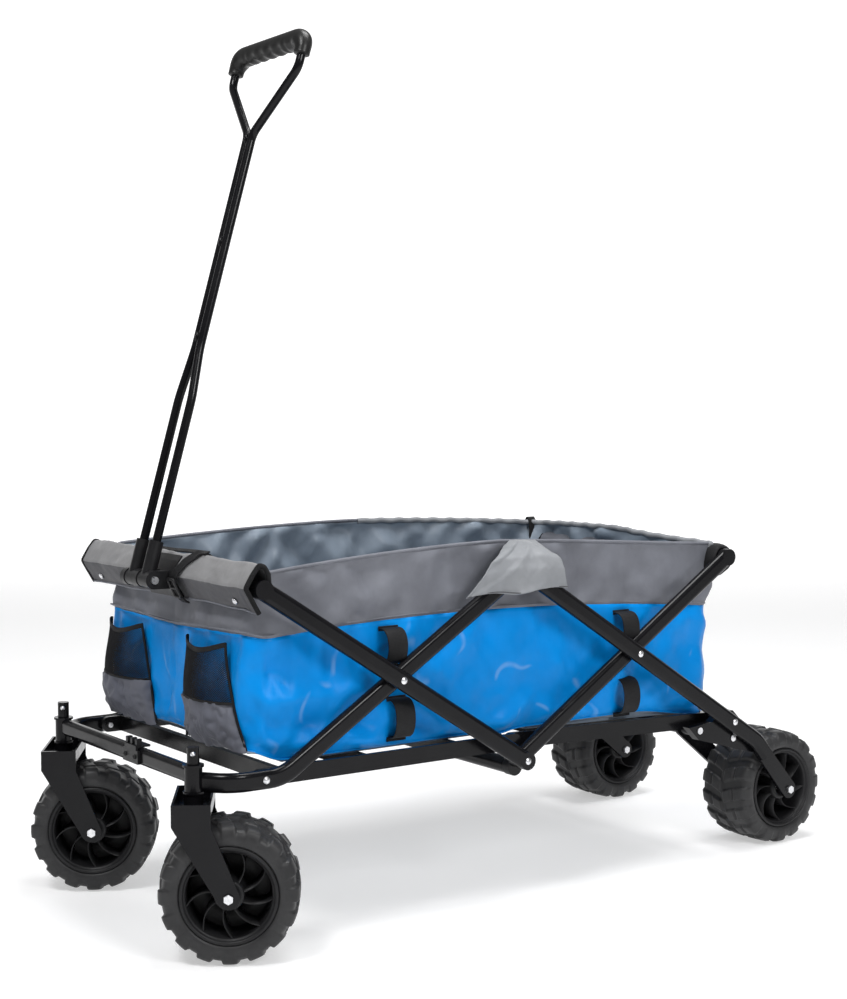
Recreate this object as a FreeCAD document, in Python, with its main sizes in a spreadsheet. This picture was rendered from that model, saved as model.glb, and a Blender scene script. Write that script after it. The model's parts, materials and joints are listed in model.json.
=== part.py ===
import FreeCAD, Part
import math
import os

import Sketcher

Vector = FreeCAD.Vector
Rotation = FreeCAD.Rotation

# Folding beach cart. +Z up, +X to the cart's left, the handle and the casters at -Y.
# The origin lies on the ground under the middle of the whole cart.
DIMENSIONS = {
    # where the cart's own mid plane and its middle joints stand in the frame above
    "mid_x": -19.4,
    "mid_y": -39.2,
    # side frames: flat-oval tubes in an outer and an inner layer
    "tube_height": 27,
    "tube_thickness": 15,
    "tube_wall": 1.5,
    "outer_face": 278.5,
    "layer_gap": 1.5,
    "arm_angle": 32.4,
    "half_span": 223,
    "low_pivot_z": 212.7,
    "front_arm_reach": 447,
    "rear_arm_reach": 430,
    "rear_rail_z": 493,
    "front_rail_z": 496,
    # front frame
    "floor_z": 237,
    "front_pin_y": 436.8,
    "front_bend_radius": 70,
    "tail_end_y": 458,
    "cross_tube_z": 247,
    "cross_tube_height": 25,
    "socket_radius": 12.2,
    "socket_low": 222.4,
    "socket_high": 261.8,
    "collar_radius": 14.5,
    "collar_height": 3,
    # rear frame
    "rear_pin_y": 430,
    "rear_pin_z": 225,
    "rear_bend_y": 486,
    "rear_bend_radius": 60,
    "rear_wheel_x": 203.5,
    "rear_wheel_y": 566.6,
    "blade_thickness": 6,
    "blade_width": 30,
    "rear_tube_y": 441,
    "rear_tube_z": 195,
    # rails and round tubes
    "rail_radius": 12.5,
    "low_tube_z": 199,
    "low_tube_end": 231,
    # pivots
    "pin_radius": 4,
    "running_clearance": 0.05,
    "open_pivot_clearance": 0.6,
    "head_radius": 5.2,
    "head_height": 2.2,
    # casters
    "king_pin_x": 215.6,
    "king_pin_y": 523,
    "trail": 48.1,
    "steer": 31,
    "stem_radius": 8.5,
    "stem_top": 285,
    "yoke_plate_z": 203,
    "yoke_plate": 3,
    "yoke_rim_top": 220,
    "yoke_length": 52,
    "yoke_blade_in": 57,
    "yoke_blade": 4,
    "button_z": 277,
    "button_radius": 3.5,
    "button_travel": 2.5,
    # wheels
    "wheel_radius": 95,
    "wheel_width": 102,
    "tread_depth": 4,
    "bead_radius": 66,
    "dish_radius": 55,
    "hub_radius": 19,
    "axle_radius": 5,
    "spoke_count": 9,
    # handle
    "handle_pivot_y": 493,
    "handle_pivot_z": 492.7,
    "handle_lean": 74.06,
    "handle_tube_radius": 6.5,
    "handle_foot_x": 20.5,
    "fork_start": 675.7,
    "fork_end": 764.7,
    "grip_half_width": 98,
    "grip_axis": 811.7,
    "grip_radius": 17,
    "grip_foot": 784.7,
    # floor frame and panels
    "floor_rail_height": 24,
    "floor_rail_thickness": 7,
    "floor_rail_face": 245.5,
    "panel_half_width": 219,
    "panel_thickness": 5,
    # basket
    "basket_half_width": 228,
    "basket_front": 439,
    "basket_rim_front": 428,
    "basket_ledge_z": 473,
    "basket_rear": 412,
    "basket_floor_z": 252,
    "basket_wall": 3,
    "rim_corner_z": 510,
    "rim_middle_z": 538,
}

doc = FreeCAD.newDocument("beach_cart")
sheet = doc.addObject("Spreadsheet::Sheet", "dims")
for row, (alias, number) in enumerate(DIMENSIONS.items(), start=1):
    sheet.set(f"A{row}", alias)
    sheet.set(f"B{row}", str(number))
    sheet.setAlias(f"B{row}", alias)
doc.recompute()

PARTS = []
SIDES = {"left": 1, "right": -1}


def value(expression):
    """The number that an expression of the sheet's cells gives."""
    return float(sheet.evalExpression(expression))


def d(name):
    """A cell's name as expressions write it."""
    return f"dims.{name}"


# names for places that several pieces share
INNER_LAYER = "(dims.outer_face - 2 * dims.tube_thickness - dims.layer_gap)"
OUTER_LAYER = "(dims.outer_face - dims.tube_thickness)"
PIVOT_Z = "(dims.low_pivot_z + dims.half_span * tan(dims.arm_angle))"
TOP_PIVOT_Z = "(dims.low_pivot_z + 2 * dims.half_span * tan(dims.arm_angle))"
PIN_HOLE = "dims.pin_radius + dims.running_clearance"


def keep(piece, label):
    """Give a finished sub-part its name and put it on the export list."""
    piece.Label = label
    PARTS.append(piece)
    return piece


def place(piece, x="0", y="0", z="0", rotation=None, x_offset=True):
    """Set a piece at expressions of the sheet, measured from the cart's middle joints."""
    piece.Placement = FreeCAD.Placement(Vector(), rotation or Rotation())
    piece.setExpression("Placement.Base.x", f"dims.mid_x + ({x})")
    piece.setExpression("Placement.Base.y", f"dims.mid_y + ({y})")
    piece.setExpression("Placement.Base.z", z)
    return piece


def side_view(angle, forward):
    """Turn a flat piece so that its X runs along an arm in the side plane and its Z runs along X."""
    lean = math.radians(angle)
    along = Vector(0, forward * math.cos(lean), math.sin(lean))
    across = Vector(1, 0, 0)
    return Rotation(along, across.cross(along), across)


SIDE_PLANE = Rotation(Vector(0, 1, 0), Vector(0, 0, 1), Vector(1, 0, 0))


def new_body(name):
    return doc.addObject("PartDesign::Body", name)


def sketch_on(body, name, role="XY_Plane"):
    """An empty sketch on one of the body's own origin planes."""
    plane = next(item for item in body.Origin.OriginFeatures if item.Role == role)
    sketch = body.newObject("Sketcher::SketchObject", name)
    sketch.AttachmentSupport = [(plane, "")]
    sketch.MapMode = "FlatFace"
    return sketch


def bind(sketch, kind, expression, *geometry):
    """A dimension of a sketch that follows an expression."""
    index = sketch.addConstraint(Sketcher.Constraint(kind, *geometry, value(expression)))
    name = f"size{index}"
    sketch.renameConstraint(index, name)
    sketch.setExpression(f"Constraints.{name}", expression)


def circle(sketch, radius, x="0", y="0"):
    centre = Vector(value(x), value(y), 0)
    index = sketch.addGeometry(Part.Circle(centre, Vector(0, 0, 1), value(radius)))
    bind(sketch, "Radius", radius, index)
    bind(sketch, "DistanceX", x, -1, 1, index, 3)
    bind(sketch, "DistanceY", y, -1, 1, index, 3)
    return index


def polygon(sketch, corners):
    """A closed outline whose corners are pairs of expressions."""
    points = [Vector(value(x), value(y), 0) for x, y in corners]
    first = sketch.GeometryCount
    count = len(points)
    for number, point in enumerate(points):
        sketch.addGeometry(Part.LineSegment(point, points[(number + 1) % count]))
    for number, (x, y) in enumerate(corners):
        after = first + (number + 1) % count
        sketch.addConstraint(Sketcher.Constraint("Coincident", first + number, 2, after, 1))
        bind(sketch, "DistanceX", x, -1, 1, first + number, 1)
        bind(sketch, "DistanceY", y, -1, 1, first + number, 1)


def rectangle(sketch, low_x, high_x, low_y, high_y):
    polygon(sketch, [(low_x, low_y), (high_x, low_y), (high_x, high_y), (low_x, high_y)])


def obround(sketch, height, thickness):
    """A flat-oval outline about the sketch's origin, its long way along the sketch's X."""
    radius = value(thickness) / 2
    reach = value(height) / 2 - radius
    turn = math.pi / 2
    first = sketch.addGeometry(
        [
            Part.LineSegment(Vector(-reach, radius, 0), Vector(reach, radius, 0)),
            Part.ArcOfCircle(Part.Circle(Vector(reach, 0, 0), Vector(0, 0, 1), radius), -turn, turn),
            Part.LineSegment(Vector(reach, -radius, 0), Vector(-reach, -radius, 0)),
            Part.ArcOfCircle(Part.Circle(Vector(-reach, 0, 0), Vector(0, 0, 1), radius), turn, 3 * turn),
        ]
    )[0]
    upper, right, lower, left = range(first, first + 4)
    for line, line_end, arc, arc_end in (
        (upper, 2, right, 2),
        (right, 1, lower, 1),
        (lower, 2, left, 2),
        (left, 1, upper, 1),
    ):
        sketch.addConstraint(Sketcher.Constraint("Tangent", line, line_end, arc, arc_end))
    bind(sketch, "Radius", f"({thickness}) / 2", right)
    bind(sketch, "DistanceX", f"(({height}) - ({thickness})) / 2", -1, 1, right, 3)
    bind(sketch, "DistanceX", f"(({thickness}) - ({height})) / 2", -1, 1, left, 3)
    bind(sketch, "DistanceY", "0", -1, 1, right, 3)


def pad(body, sketch, length, midplane=False):
    feature = body.newObject("PartDesign::Pad", f"{sketch.Name}_pad")
    feature.Profile = sketch
    feature.setExpression("Length", length)
    feature.Midplane = midplane
    doc.recompute()
    return feature


def pocket(body, sketch, length=None, midplane=False, reverse=False):
    """Cut a sketch out of a body, and make sure that it really took something away."""
    before = body.Shape.Volume
    feature = body.newObject("PartDesign::Pocket", f"{sketch.Name}_pocket")
    feature.Profile = sketch
    feature.Midplane = midplane
    feature.Reversed = reverse
    if length is None:
        feature.Type = "ThroughAll"
    else:
        feature.setExpression("Length", length)
    doc.recompute()
    if body.Shape.Volume >= before - 0.01:
        raise RuntimeError(f"{feature.Name} cut nothing")
    return feature


def revolve(body, sketch, axis_role="X_Axis"):
    feature = body.newObject("PartDesign::Revolution", f"{sketch.Name}_turned")
    feature.Profile = sketch
    axis = next(item for item in body.Origin.OriginFeatures if item.Role == axis_role)
    feature.ReferenceAxis = (axis, [""])
    feature.Angle = 360
    doc.recompute()
    return feature


def path_of(body, name, points, radii):
    """A flat path of straight runs joined by tangent arcs, in the body's XY plane."""
    sketch = sketch_on(body, name)
    corners = [Vector(x, y, 0) for x, y in points]
    start = corners[0]
    for before, corner, after, radius in zip(corners, corners[1:], corners[2:], radii):
        into = (corner - before).normalize()
        out = (after - corner).normalize()
        half_turn = into.getAngle(out) / 2
        setback = radius * math.tan(half_turn)
        bisector = (out - into).normalize()
        middle = corner + bisector * (radius / math.cos(half_turn) - radius)
        arc_start = corner - into * setback
        arc_end = corner + out * setback
        sketch.addGeometry(Part.LineSegment(start, arc_start))
        sketch.addGeometry(Part.Arc(arc_start, middle, arc_end))
        start = arc_end
    sketch.addGeometry(Part.LineSegment(start, corners[-1]))
    doc.recompute()
    return sketch


def sweep(body, profile, path):
    feature = body.newObject("PartDesign::AdditivePipe", f"{profile.Name}_swept")
    feature.Profile = profile
    feature.Spine = (path, [f"Edge{number + 1}" for number in range(path.GeometryCount)])
    doc.recompute()
    return feature


def flat_oval_tube(body, points, radii):
    """A hollow flat-oval tube along a path that starts along the body's X axis."""
    path = path_of(body, f"{body.Name}_path", points, radii)
    profile = sketch_on(body, f"{body.Name}_section", "YZ_Plane")
    obround(profile, "dims.tube_height", "dims.tube_thickness")
    obround(
        profile,
        "dims.tube_height - 2 * dims.tube_wall",
        "dims.tube_thickness - 2 * dims.tube_wall",
    )
    return sweep(body, profile, path)


def eye(body, name, x, y, height="dims.tube_height"):
    """A round boss through the tube about a pivot, on the tube's own thickness."""
    boss = sketch_on(body, f"{body.Name}_{name}")
    circle(boss, f"({height}) / 2", x, y)
    return pad(body, boss, "dims.tube_thickness", midplane=True)


def pin_holes(body, name, holes):
    """Holes across the tube, each a position and a radius."""
    sketch = sketch_on(body, f"{body.Name}_{name}")
    for x, y, radius in holes:
        circle(sketch, radius, x, y)
    return pocket(body, sketch, "dims.tube_thickness * 3", midplane=True)


def cylinder(name, radius, length):
    piece = doc.addObject("Part::Cylinder", name)
    piece.setExpression("Radius", radius)
    piece.setExpression("Height", length)
    return piece


ALONG_X = Rotation(Vector(0, 1, 0), 90)


def rivet(name, x_start, x_end, y, z, side, radius="dims.pin_radius"):
    """A pivot pin along X from x_start to x_end with a domed head on its outer end."""
    shaft = cylinder(f"{name}_shaft", radius, f"({x_end}) - ({x_start})")
    dome = doc.addObject("Part::Sphere", f"{name}_dome")
    rise = "dims.head_height"
    dome_radius = f"(dims.head_radius * dims.head_radius + {rise} * {rise}) / (2 * {rise})"
    dome.setExpression("Radius", dome_radius)
    dome.Angle1 = -90
    dome.Placement.Base = Vector(0, 0, 0)
    dome.setExpression("Placement.Base.z", f"({x_end}) - ({x_start}) + {rise} - {dome_radius}")
    slab = cylinder(f"{name}_slab", "dims.head_radius + 1", rise)
    slab.setExpression("Placement.Base.z", f"({x_end}) - ({x_start})")
    head = doc.addObject("Part::MultiCommon", f"{name}_head")
    head.Shapes = [dome, slab]
    pin = doc.addObject("Part::MultiFuse", name)
    pin.Shapes = [shaft, head]
    turn = Rotation(Vector(0, 1, 0), 90 * side)
    place(pin, f"{side} * ({x_start})", y, z, turn)
    return pin


def group(label, pieces):
    """Several separate solids that share one node."""
    bundle = doc.addObject("Part::Compound", label)
    bundle.Links = pieces
    return keep(bundle, label)


def tube_along_x(label, radius, half_length, y, z, wall="dims.tube_wall"):
    """A round hollow tube centred on the cart's mid plane."""
    body = new_body(label)
    section = sketch_on(body, f"{label}_section", "YZ_Plane")
    circle(section, radius)
    circle(section, f"{radius} - {wall}")
    pad(body, section, f"2 * ({half_length})", midplane=True)
    return keep(place(body, "0", y, z), label)


# ---------------------------------------------------------------- middle of the side frames


def mid_frame():
    tube_along_x("lower_cross_tube", "dims.rail_radius", "dims.low_tube_end", "0", "dims.low_tube_z")
    caps = []
    for side_name, side in SIDES.items():
        cap = new_body(f"cross_tube_cap_{side_name}")
        face = sketch_on(cap, f"cap_face_{side_name}", "YZ_Plane")
        circle(face, "dims.rail_radius + 1", "0", "dims.low_tube_z - dims.low_pivot_z")
        pad(cap, face, f"({INNER_LAYER}) - dims.low_tube_end - 1")
        ear = sketch_on(cap, f"cap_ear_{side_name}", "YZ_Plane")
        circle(ear, "10")
        pad(cap, ear, f"({INNER_LAYER}) - dims.low_tube_end - 1")
        hole = sketch_on(cap, f"cap_hole_{side_name}", "YZ_Plane")
        circle(hole, "dims.pin_radius")
        pocket(cap, hole, midplane=True)
        turn = Rotation() if side > 0 else Rotation(Vector(0, 0, 1), 180)
        caps.append(place(cap, f"{side} * dims.low_tube_end", "0", "dims.low_pivot_z", turn))
    group("cross_tube_caps", caps)
    bolts = [
        rivet(f"mid_bolt_{name}", "dims.low_tube_end", d("outer_face"), "0", d("low_pivot_z"), side)
        for name, side in SIDES.items()
    ]
    group("mid_pivot_bolts", bolts)


# ---------------------------------------------------------------- upper arms and their rails


def upper_arm(label, layer, reach, rail_z, forward, side):
    """A straight arm from the low middle pivot up to the end of a top rail."""
    rise = value(f"{rail_z} - dims.low_pivot_z")
    run = value(reach)
    length = math.hypot(rise, run)
    angle = math.degrees(math.atan2(rise, run))
    # the crossing rivet's place in the arm's own axes
    lean = math.radians(angle)
    out, up = value(d("half_span")), value(f"{PIVOT_Z} - dims.low_pivot_z")
    along = str(out * math.cos(lean) + up * math.sin(lean))
    aside = str(forward * (up * math.cos(lean) - out * math.sin(lean)))
    body = new_body(label)
    flat_oval_tube(body, [(0, 0), (length, 0)], [])
    eye(body, "low_eye", "0", "0")
    eye(body, "cross_eye", along, aside, "2 * dims.pin_radius + 6")
    eye(body, "top_eye", str(length), "0")
    pin_holes(body, "holes", [("0", "0", PIN_HOLE), (along, aside, "dims.pin_radius")])
    middle = f"{side} * ({layer} + dims.tube_thickness / 2)"
    return keep(place(body, middle, "0", d("low_pivot_z"), side_view(angle, forward)), label)


def upper_frames():
    for side_name, side in SIDES.items():
        upper_arm(f"front_arm_{side_name}", OUTER_LAYER, d("front_arm_reach"), d("front_rail_z"), -1, side)
        upper_arm(f"rear_arm_{side_name}", INNER_LAYER, d("rear_arm_reach"), d("rear_rail_z"), 1, side)
    front_y = "-dims.front_arm_reach"
    tube_along_x("front_top_rail", d("rail_radius"), OUTER_LAYER, front_y, d("front_rail_z"))
    tube_along_x("rear_top_rail", d("rail_radius"), INNER_LAYER, d("rear_arm_reach"), d("rear_rail_z"))
    for end, forward in (("front", -1), ("rear", 1)):
        pins = [
            rivet(
                f"{end}_cross_pin_{name}",
                f"({INNER_LAYER}) + 0.3",
                d("outer_face"),
                f"{forward} * dims.half_span",
                PIVOT_Z,
                side,
            )
            for name, side in SIDES.items()
        ]
        group(f"{end}_cross_rivets", pins)


# ---------------------------------------------------------------- front frame and caster sockets


def front_leg(label, side):
    """A tube from the top middle pivot, down past the crossing, level at the floor and in to the socket."""
    angle = value(d("arm_angle"))
    drop = value(f"{TOP_PIVOT_Z} - dims.floor_z")
    bend_run = drop / math.sin(math.radians(angle))
    bend_y = drop / math.tan(math.radians(angle))
    tail = value("dims.tail_end_y") - bend_y
    lean = math.radians(angle)
    tail_end = (bend_run + tail * math.cos(lean), tail * math.sin(lean))
    cross = value("dims.half_span / cos(dims.arm_angle)")
    pin_run = value("dims.front_pin_y") - bend_y
    pin = (str(bend_run + pin_run * math.cos(lean)), str(pin_run * math.sin(lean)))
    body = new_body(label)
    flat_oval_tube(body, [(0, 0), (bend_run, 0), tail_end], [value("dims.front_bend_radius")])
    eye(body, "top_eye", "0", "0")
    eye(body, "cross_eye", str(cross), "0", "2 * dims.pin_radius + 6")
    eye(body, "floor_eye", *pin, "2 * dims.pin_radius + 6")
    fixed = "dims.pin_radius"
    pin_holes(body, "holes", [("0", "0", fixed), (str(cross), "0", PIN_HOLE), (*pin, fixed)])
    middle = f"{side} * ({INNER_LAYER} + dims.tube_thickness / 2)"
    # the arm's own X points down and forward, so its Y points up and forward
    along = Vector(0, -math.cos(lean), -math.sin(lean))
    upward = Vector(0, -math.sin(lean), math.cos(lean))
    turn = Rotation(along, upward, along.cross(upward))
    return keep(place(body, middle, "0", TOP_PIVOT_Z, turn), label)


def front_corner(label, side):
    """The front tube's corner: a smooth level bend that brings the leg in to the caster socket."""
    start = Vector(value(f"{INNER_LAYER} + dims.tube_thickness / 2"), value("-dims.tail_end_y"), 0)
    corner = start + Vector(0, -28, 0)
    end = Vector(value("dims.king_pin_x + 4"), value("-dims.king_pin_y + dims.socket_radius - 1"), 0)
    into, out = Vector(0, -1, 0), (end - corner).normalize()
    half_turn = into.getAngle(out) / 2
    bend = 50
    setback = bend * math.tan(half_turn)
    middle = corner + (out - into).normalize() * (bend / math.cos(half_turn) - bend)
    arc_start, arc_end = corner - into * setback, corner + out * setback
    spine = Part.Wire(
        [
            Part.LineSegment(start, arc_start).toShape(),
            Part.Arc(arc_start, middle, arc_end).toShape(),
            Part.LineSegment(arc_end, end).toShape(),
        ]
    )
    skins = []
    for inset in (0, value("dims.tube_wall")):
        radius = value("dims.tube_thickness") / 2 - inset
        reach = value("(dims.tube_height - dims.tube_thickness) / 2")
        high, low = start + Vector(0, 0, reach), start - Vector(0, 0, reach)
        across, rise = Vector(radius, 0, 0), Vector(0, 0, radius)
        section = Part.Wire(
            [
                Part.Arc(high + across, high + rise, high - across).toShape(),
                Part.LineSegment(high - across, low - across).toShape(),
                Part.Arc(low - across, low - rise, low + across).toShape(),
                Part.LineSegment(low + across, high + across).toShape(),
            ]
        )
        skins.append(spine.makePipeShell([section], True, False))
    socket_cut = Part.makeCylinder(value("dims.socket_radius"), 60)
    socket_cut.translate(Vector(value("dims.king_pin_x"), value("-dims.king_pin_y"), -30))
    # room for the socket's lower collar, which stands up a little past the tube's underside
    collar_cut = Part.makeCylinder(value("dims.collar_radius + 0.3"), 20)
    collar_top = value("dims.socket_low + dims.collar_height + 0.3 - dims.floor_z")
    collar_cut.translate(Vector(value("dims.king_pin_x"), value("-dims.king_pin_y"), collar_top - 20))
    solid = skins[0].cut(skins[1]).cut(socket_cut).cut(collar_cut)
    if side < 0:
        solid = solid.mirror(Vector(), Vector(1, 0, 0))
    piece = doc.addObject("Part::Feature", label)
    piece.Shape = solid
    return place(piece, "0", "0", d("floor_z"))


def caster_socket(label, side):
    body = new_body(label)
    wall = sketch_on(body, f"{label}_wall")
    circle(wall, d("socket_radius"))
    circle(wall, f"{d('stem_radius')} + dims.running_clearance")
    pad(body, wall, "dims.socket_high - dims.socket_low")
    for number, height in enumerate(("0", "dims.socket_high - dims.socket_low - dims.collar_height")):
        collar = sketch_on(body, f"{label}_collar{number}")
        collar.setExpression("AttachmentOffset.Base.z", height)
        circle(collar, d("collar_radius"))
        circle(collar, f"{d('stem_radius')} + dims.running_clearance")
        pad(body, collar, d("collar_height"))
    place(body, f"{side} * dims.king_pin_x", "-dims.king_pin_y", d("socket_low"))
    return keep(body, label)


def front_frame():
    corners = {name: front_corner(f"front_corner_{name}", side) for name, side in SIDES.items()}
    for side_name, side in SIDES.items():
        front_leg(f"front_leg_{side_name}", side)
        caster_socket(f"caster_socket_{side_name}", side)
    group("front_corner_tubes", list(corners.values()))
    cross = new_body("front_cross_tube")
    section = sketch_on(cross, "cross_section", "YZ_Plane")
    section.AttachmentOffset = FreeCAD.Placement(Vector(), Rotation(Vector(0, 0, 1), 90))
    obround(section, d("cross_tube_height"), d("tube_thickness"))
    obround(
        section,
        "dims.cross_tube_height - 2 * dims.tube_wall",
        "dims.tube_thickness - 2 * dims.tube_wall",
    )
    pad(cross, section, "2 * dims.king_pin_x", midplane=True)
    for name, side in SIDES.items():
        notch = sketch_on(cross, f"cross_notch_{name}")
        circle(notch, d("socket_radius"), f"{side} * dims.king_pin_x")
        pocket(cross, notch, midplane=True)
    keep(place(cross, "0", "-dims.king_pin_y", d("cross_tube_z")), "front_cross_tube")
    floor_pins = [
        rivet(
            f"front_floor_pin_{name}",
            "dims.floor_rail_face - 2 * dims.floor_rail_thickness - 0.5",
            f"({INNER_LAYER}) + dims.tube_thickness",
            "-dims.front_pin_y",
            d("floor_z"),
            side,
        )
        for name, side in SIDES.items()
    ]
    group("front_floor_pins", floor_pins)
    top_pins = [
        rivet(f"top_pin_{name}", f"({INNER_LAYER}) + 0.3", d("outer_face"), "0", TOP_PIVOT_Z, side)
        for name, side in SIDES.items()
    ]
    group("top_pivot_pins", top_pins)


def handle_catch():
    """The plastic clip on the front cross tube that holds the handle down when the cart is stowed."""
    base_y = "-dims.king_pin_y - dims.tube_thickness / 2"
    body = new_body("catch_clip")
    plate = sketch_on(body, "catch_plate", "XZ_Plane")
    rectangle(plate, "-24", "24", "-10", "9")
    pad(body, plate, "4")
    cap = sketch_on(body, "catch_cap")
    cap.setExpression("AttachmentOffset.Base.z", "dims.cross_tube_height / 2 + 0.2")
    rectangle(cap, "-18", "18", "-4", "19")
    pad(body, cap, "3")
    web = sketch_on(body, "catch_web", "XZ_Plane")
    rectangle(web, "-18", "18", "8", "dims.cross_tube_height / 2 + 3.2")
    pad(body, web, "4")
    prongs = sketch_on(body, "catch_prongs")
    prongs.setExpression("AttachmentOffset.Base.z", "dims.cross_tube_height / 2 + 3.2")
    for low, high in ((-18, -12), (-3, 3), (12, 18)):
        rectangle(prongs, str(low), str(high), "-2", "6")
    pad(body, prongs, "9")
    place(body, "45", base_y, d("cross_tube_z"))
    screws = []
    for number, x in enumerate((30, 60)):
        screw = doc.addObject("Part::Sphere", f"catch_screw_{number}")
        screw.Radius = 3.6
        screw.Angle1 = 0
        place(screw, str(x), f"{base_y} - 4", d("cross_tube_z"), Rotation(Vector(1, 0, 0), 90))
        screws.append(screw)
    group("handle_catch", [body, *screws])


# ---------------------------------------------------------------- rear frame


def rear_leg(label, side):
    """A tube from the top middle pivot down to the rear bend, and from there a flat fork blade to the axle."""
    angle = math.radians(value(d("arm_angle")))
    bend_y = value(d("rear_bend_y"))
    bend_z = value(TOP_PIVOT_Z) - bend_y * math.tan(angle)
    hub_y, hub_z = value(d("rear_wheel_y")), value(d("wheel_radius"))
    run = bend_y / math.cos(angle)
    steeper = math.atan2(bend_z - hub_z, hub_y - bend_y) - angle
    blade_run = math.hypot(bend_z - hub_z, hub_y - bend_y)

    def along_blade(distance):
        return run + distance * math.cos(steeper), -distance * math.sin(steeper)

    # the pin that carries the floor rails, in the leg's own axes
    pin_y, pin_drop = value(d("rear_pin_y")), value(f"{TOP_PIVOT_Z} - dims.rear_pin_z")
    pin_x = pin_y * math.cos(angle) + pin_drop * math.sin(angle)
    pin_up = pin_y * math.sin(angle) - pin_drop * math.cos(angle)
    cross = value("dims.half_span / cos(dims.arm_angle)")
    body = new_body(label)
    flat_oval_tube(body, [(0, 0), (run, 0), along_blade(34)], [value(d("rear_bend_radius"))])
    eye(body, "top_eye", "0", "0")
    eye(body, "cross_eye", str(cross), "0", "2 * dims.pin_radius + 6")
    eye(body, "floor_eye", str(pin_x), str(pin_up), "2 * dims.pin_radius + 6")
    blade = sketch_on(body, f"{label}_blade")
    blade.setExpression("AttachmentOffset.Base.z", f"{-side} * dims.tube_thickness / 2")
    hub_x, hub_up = along_blade(blade_run)
    top_x, top_up = along_blade(14)
    across = Vector(math.sin(steeper), math.cos(steeper), 0) * value("dims.blade_width / 2")
    top, low = Vector(top_x, top_up, 0), Vector(hub_x, hub_up, 0)
    tip = low + Vector(math.cos(steeper), -math.sin(steeper), 0) * value("dims.blade_width / 2")
    corners = [top + across * 0.9, low + across, low - across, top - across * 0.9]
    blade.addGeometry(Part.LineSegment(corners[0], corners[1]))
    blade.addGeometry(Part.Arc(corners[1], tip, corners[2]))
    blade.addGeometry(Part.LineSegment(corners[2], corners[3]))
    blade.addGeometry(Part.LineSegment(corners[3], corners[0]))
    feature = pad(body, blade, d("blade_thickness"))
    feature.Reversed = side < 0
    doc.recompute()
    holes = sketch_on(body, f"{label}_holes")
    for x, y, radius in (
        ("0", "0", "dims.pin_radius + dims.open_pivot_clearance"),
        (str(cross), "0", PIN_HOLE),
        (str(pin_x), str(pin_up), "dims.pin_radius"),
        (str(hub_x), str(hub_up), "dims.axle_radius"),
    ):
        circle(holes, radius, x, y)
    pocket(body, holes, "dims.tube_thickness * 3", midplane=True)
    along = Vector(0, math.cos(angle), -math.sin(angle))
    upward = Vector(0, math.sin(angle), math.cos(angle))
    turn = Rotation(along, upward, along.cross(upward))
    middle = f"{side} * ({OUTER_LAYER} + dims.tube_thickness / 2)"
    return keep(place(body, middle, "0", TOP_PIVOT_Z, turn), label)


def rear_bracket(label, side):
    """The channel inside the rear leg that takes the rear cross tube and the floor rails' pin."""
    body = new_body(label)
    face = sketch_on(body, f"{label}_face")
    outline = [(342, 222), (364, 200), (486, 166), (503, 176), (470, 212), (440, 241), (415, 241), (392, 226)]
    polygon(face, [(str(y), str(z)) for y, z in outline])
    pad(body, face, d("tube_thickness"), midplane=True)
    holes = sketch_on(body, f"{label}_holes")
    circle(holes, "dims.pin_radius", d("rear_pin_y"), d("rear_pin_z"))
    pocket(body, holes, "dims.tube_thickness * 2", midplane=True)
    place(body, f"{side} * ({INNER_LAYER} + dims.tube_thickness / 2)", "0", "0", SIDE_PLANE)
    return body


def rear_frame():
    brackets = []
    for side_name, side in SIDES.items():
        rear_leg(f"rear_leg_{side_name}", side)
        brackets.append(rear_bracket(f"rear_bracket_{side_name}", side))
    group("rear_brackets", brackets)
    tube_along_x("rear_cross_tube", "11", INNER_LAYER, d("rear_tube_y"), d("rear_tube_z"))
    bolts = []
    for name, side in SIDES.items():
        for number, (y, z) in enumerate(((366, 215), (441, 195))):
            head = doc.addObject("Part::Cylinder", f"bracket_bolt_{name}_{number}")
            head.Radius = 5.5
            head.Height = 1.3
            turn = Rotation(Vector(0, 1, 0), 90 * side)
            start = f"{side} * (({INNER_LAYER}) + dims.tube_thickness)"
            bolts.append(place(head, start, str(y), str(z), turn))
    group("bracket_bolts", bolts)
    pins = [
        rivet(
            f"rear_floor_pin_{name}",
            "dims.floor_rail_face - 2 * dims.floor_rail_thickness - 0.5",
            d("outer_face"),
            d("rear_pin_y"),
            d("rear_pin_z"),
            side,
        )
        for name, side in SIDES.items()
    ]
    group("rear_floor_pins", pins)
    blades = []
    for name, side in SIDES.items():
        blade = new_body(f"rear_inner_blade_{name}")
        face = sketch_on(blade, f"inner_blade_face_{name}")
        hub = (value(d("rear_wheel_y")), value(d("wheel_radius")))
        tube = (value(d("rear_tube_y")), value(d("rear_tube_z")))
        along = Vector(hub[0] - tube[0], hub[1] - tube[1], 0).normalize()
        across = Vector(-along.y, along.x, 0) * value("dims.blade_width / 2")
        start = Vector(*tube, 0)
        end = Vector(*hub, 0)
        face.addGeometry(Part.LineSegment(start + across, end + across))
        face.addGeometry(Part.Arc(end + across, end + along * across.Length, end - across))
        face.addGeometry(Part.LineSegment(end - across, start - across))
        face.addGeometry(Part.Arc(start - across, start - along * across.Length, start + across))
        pad(blade, face, d("blade_thickness"), midplane=True)
        holes = sketch_on(blade, f"inner_blade_holes_{name}")
        circle(holes, "11", d("rear_tube_y"), d("rear_tube_z"))
        circle(holes, d("axle_radius"), d("rear_wheel_y"), d("wheel_radius"))
        pocket(blade, holes, "40", midplane=True)
        x = f"{side} * (dims.rear_wheel_x - dims.wheel_width / 2 - 9)"
        blades.append(place(blade, x, "0", "0", SIDE_PLANE))
    group("rear_inner_blades", blades)


# ---------------------------------------------------------------- wheels, axles and casters


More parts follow.
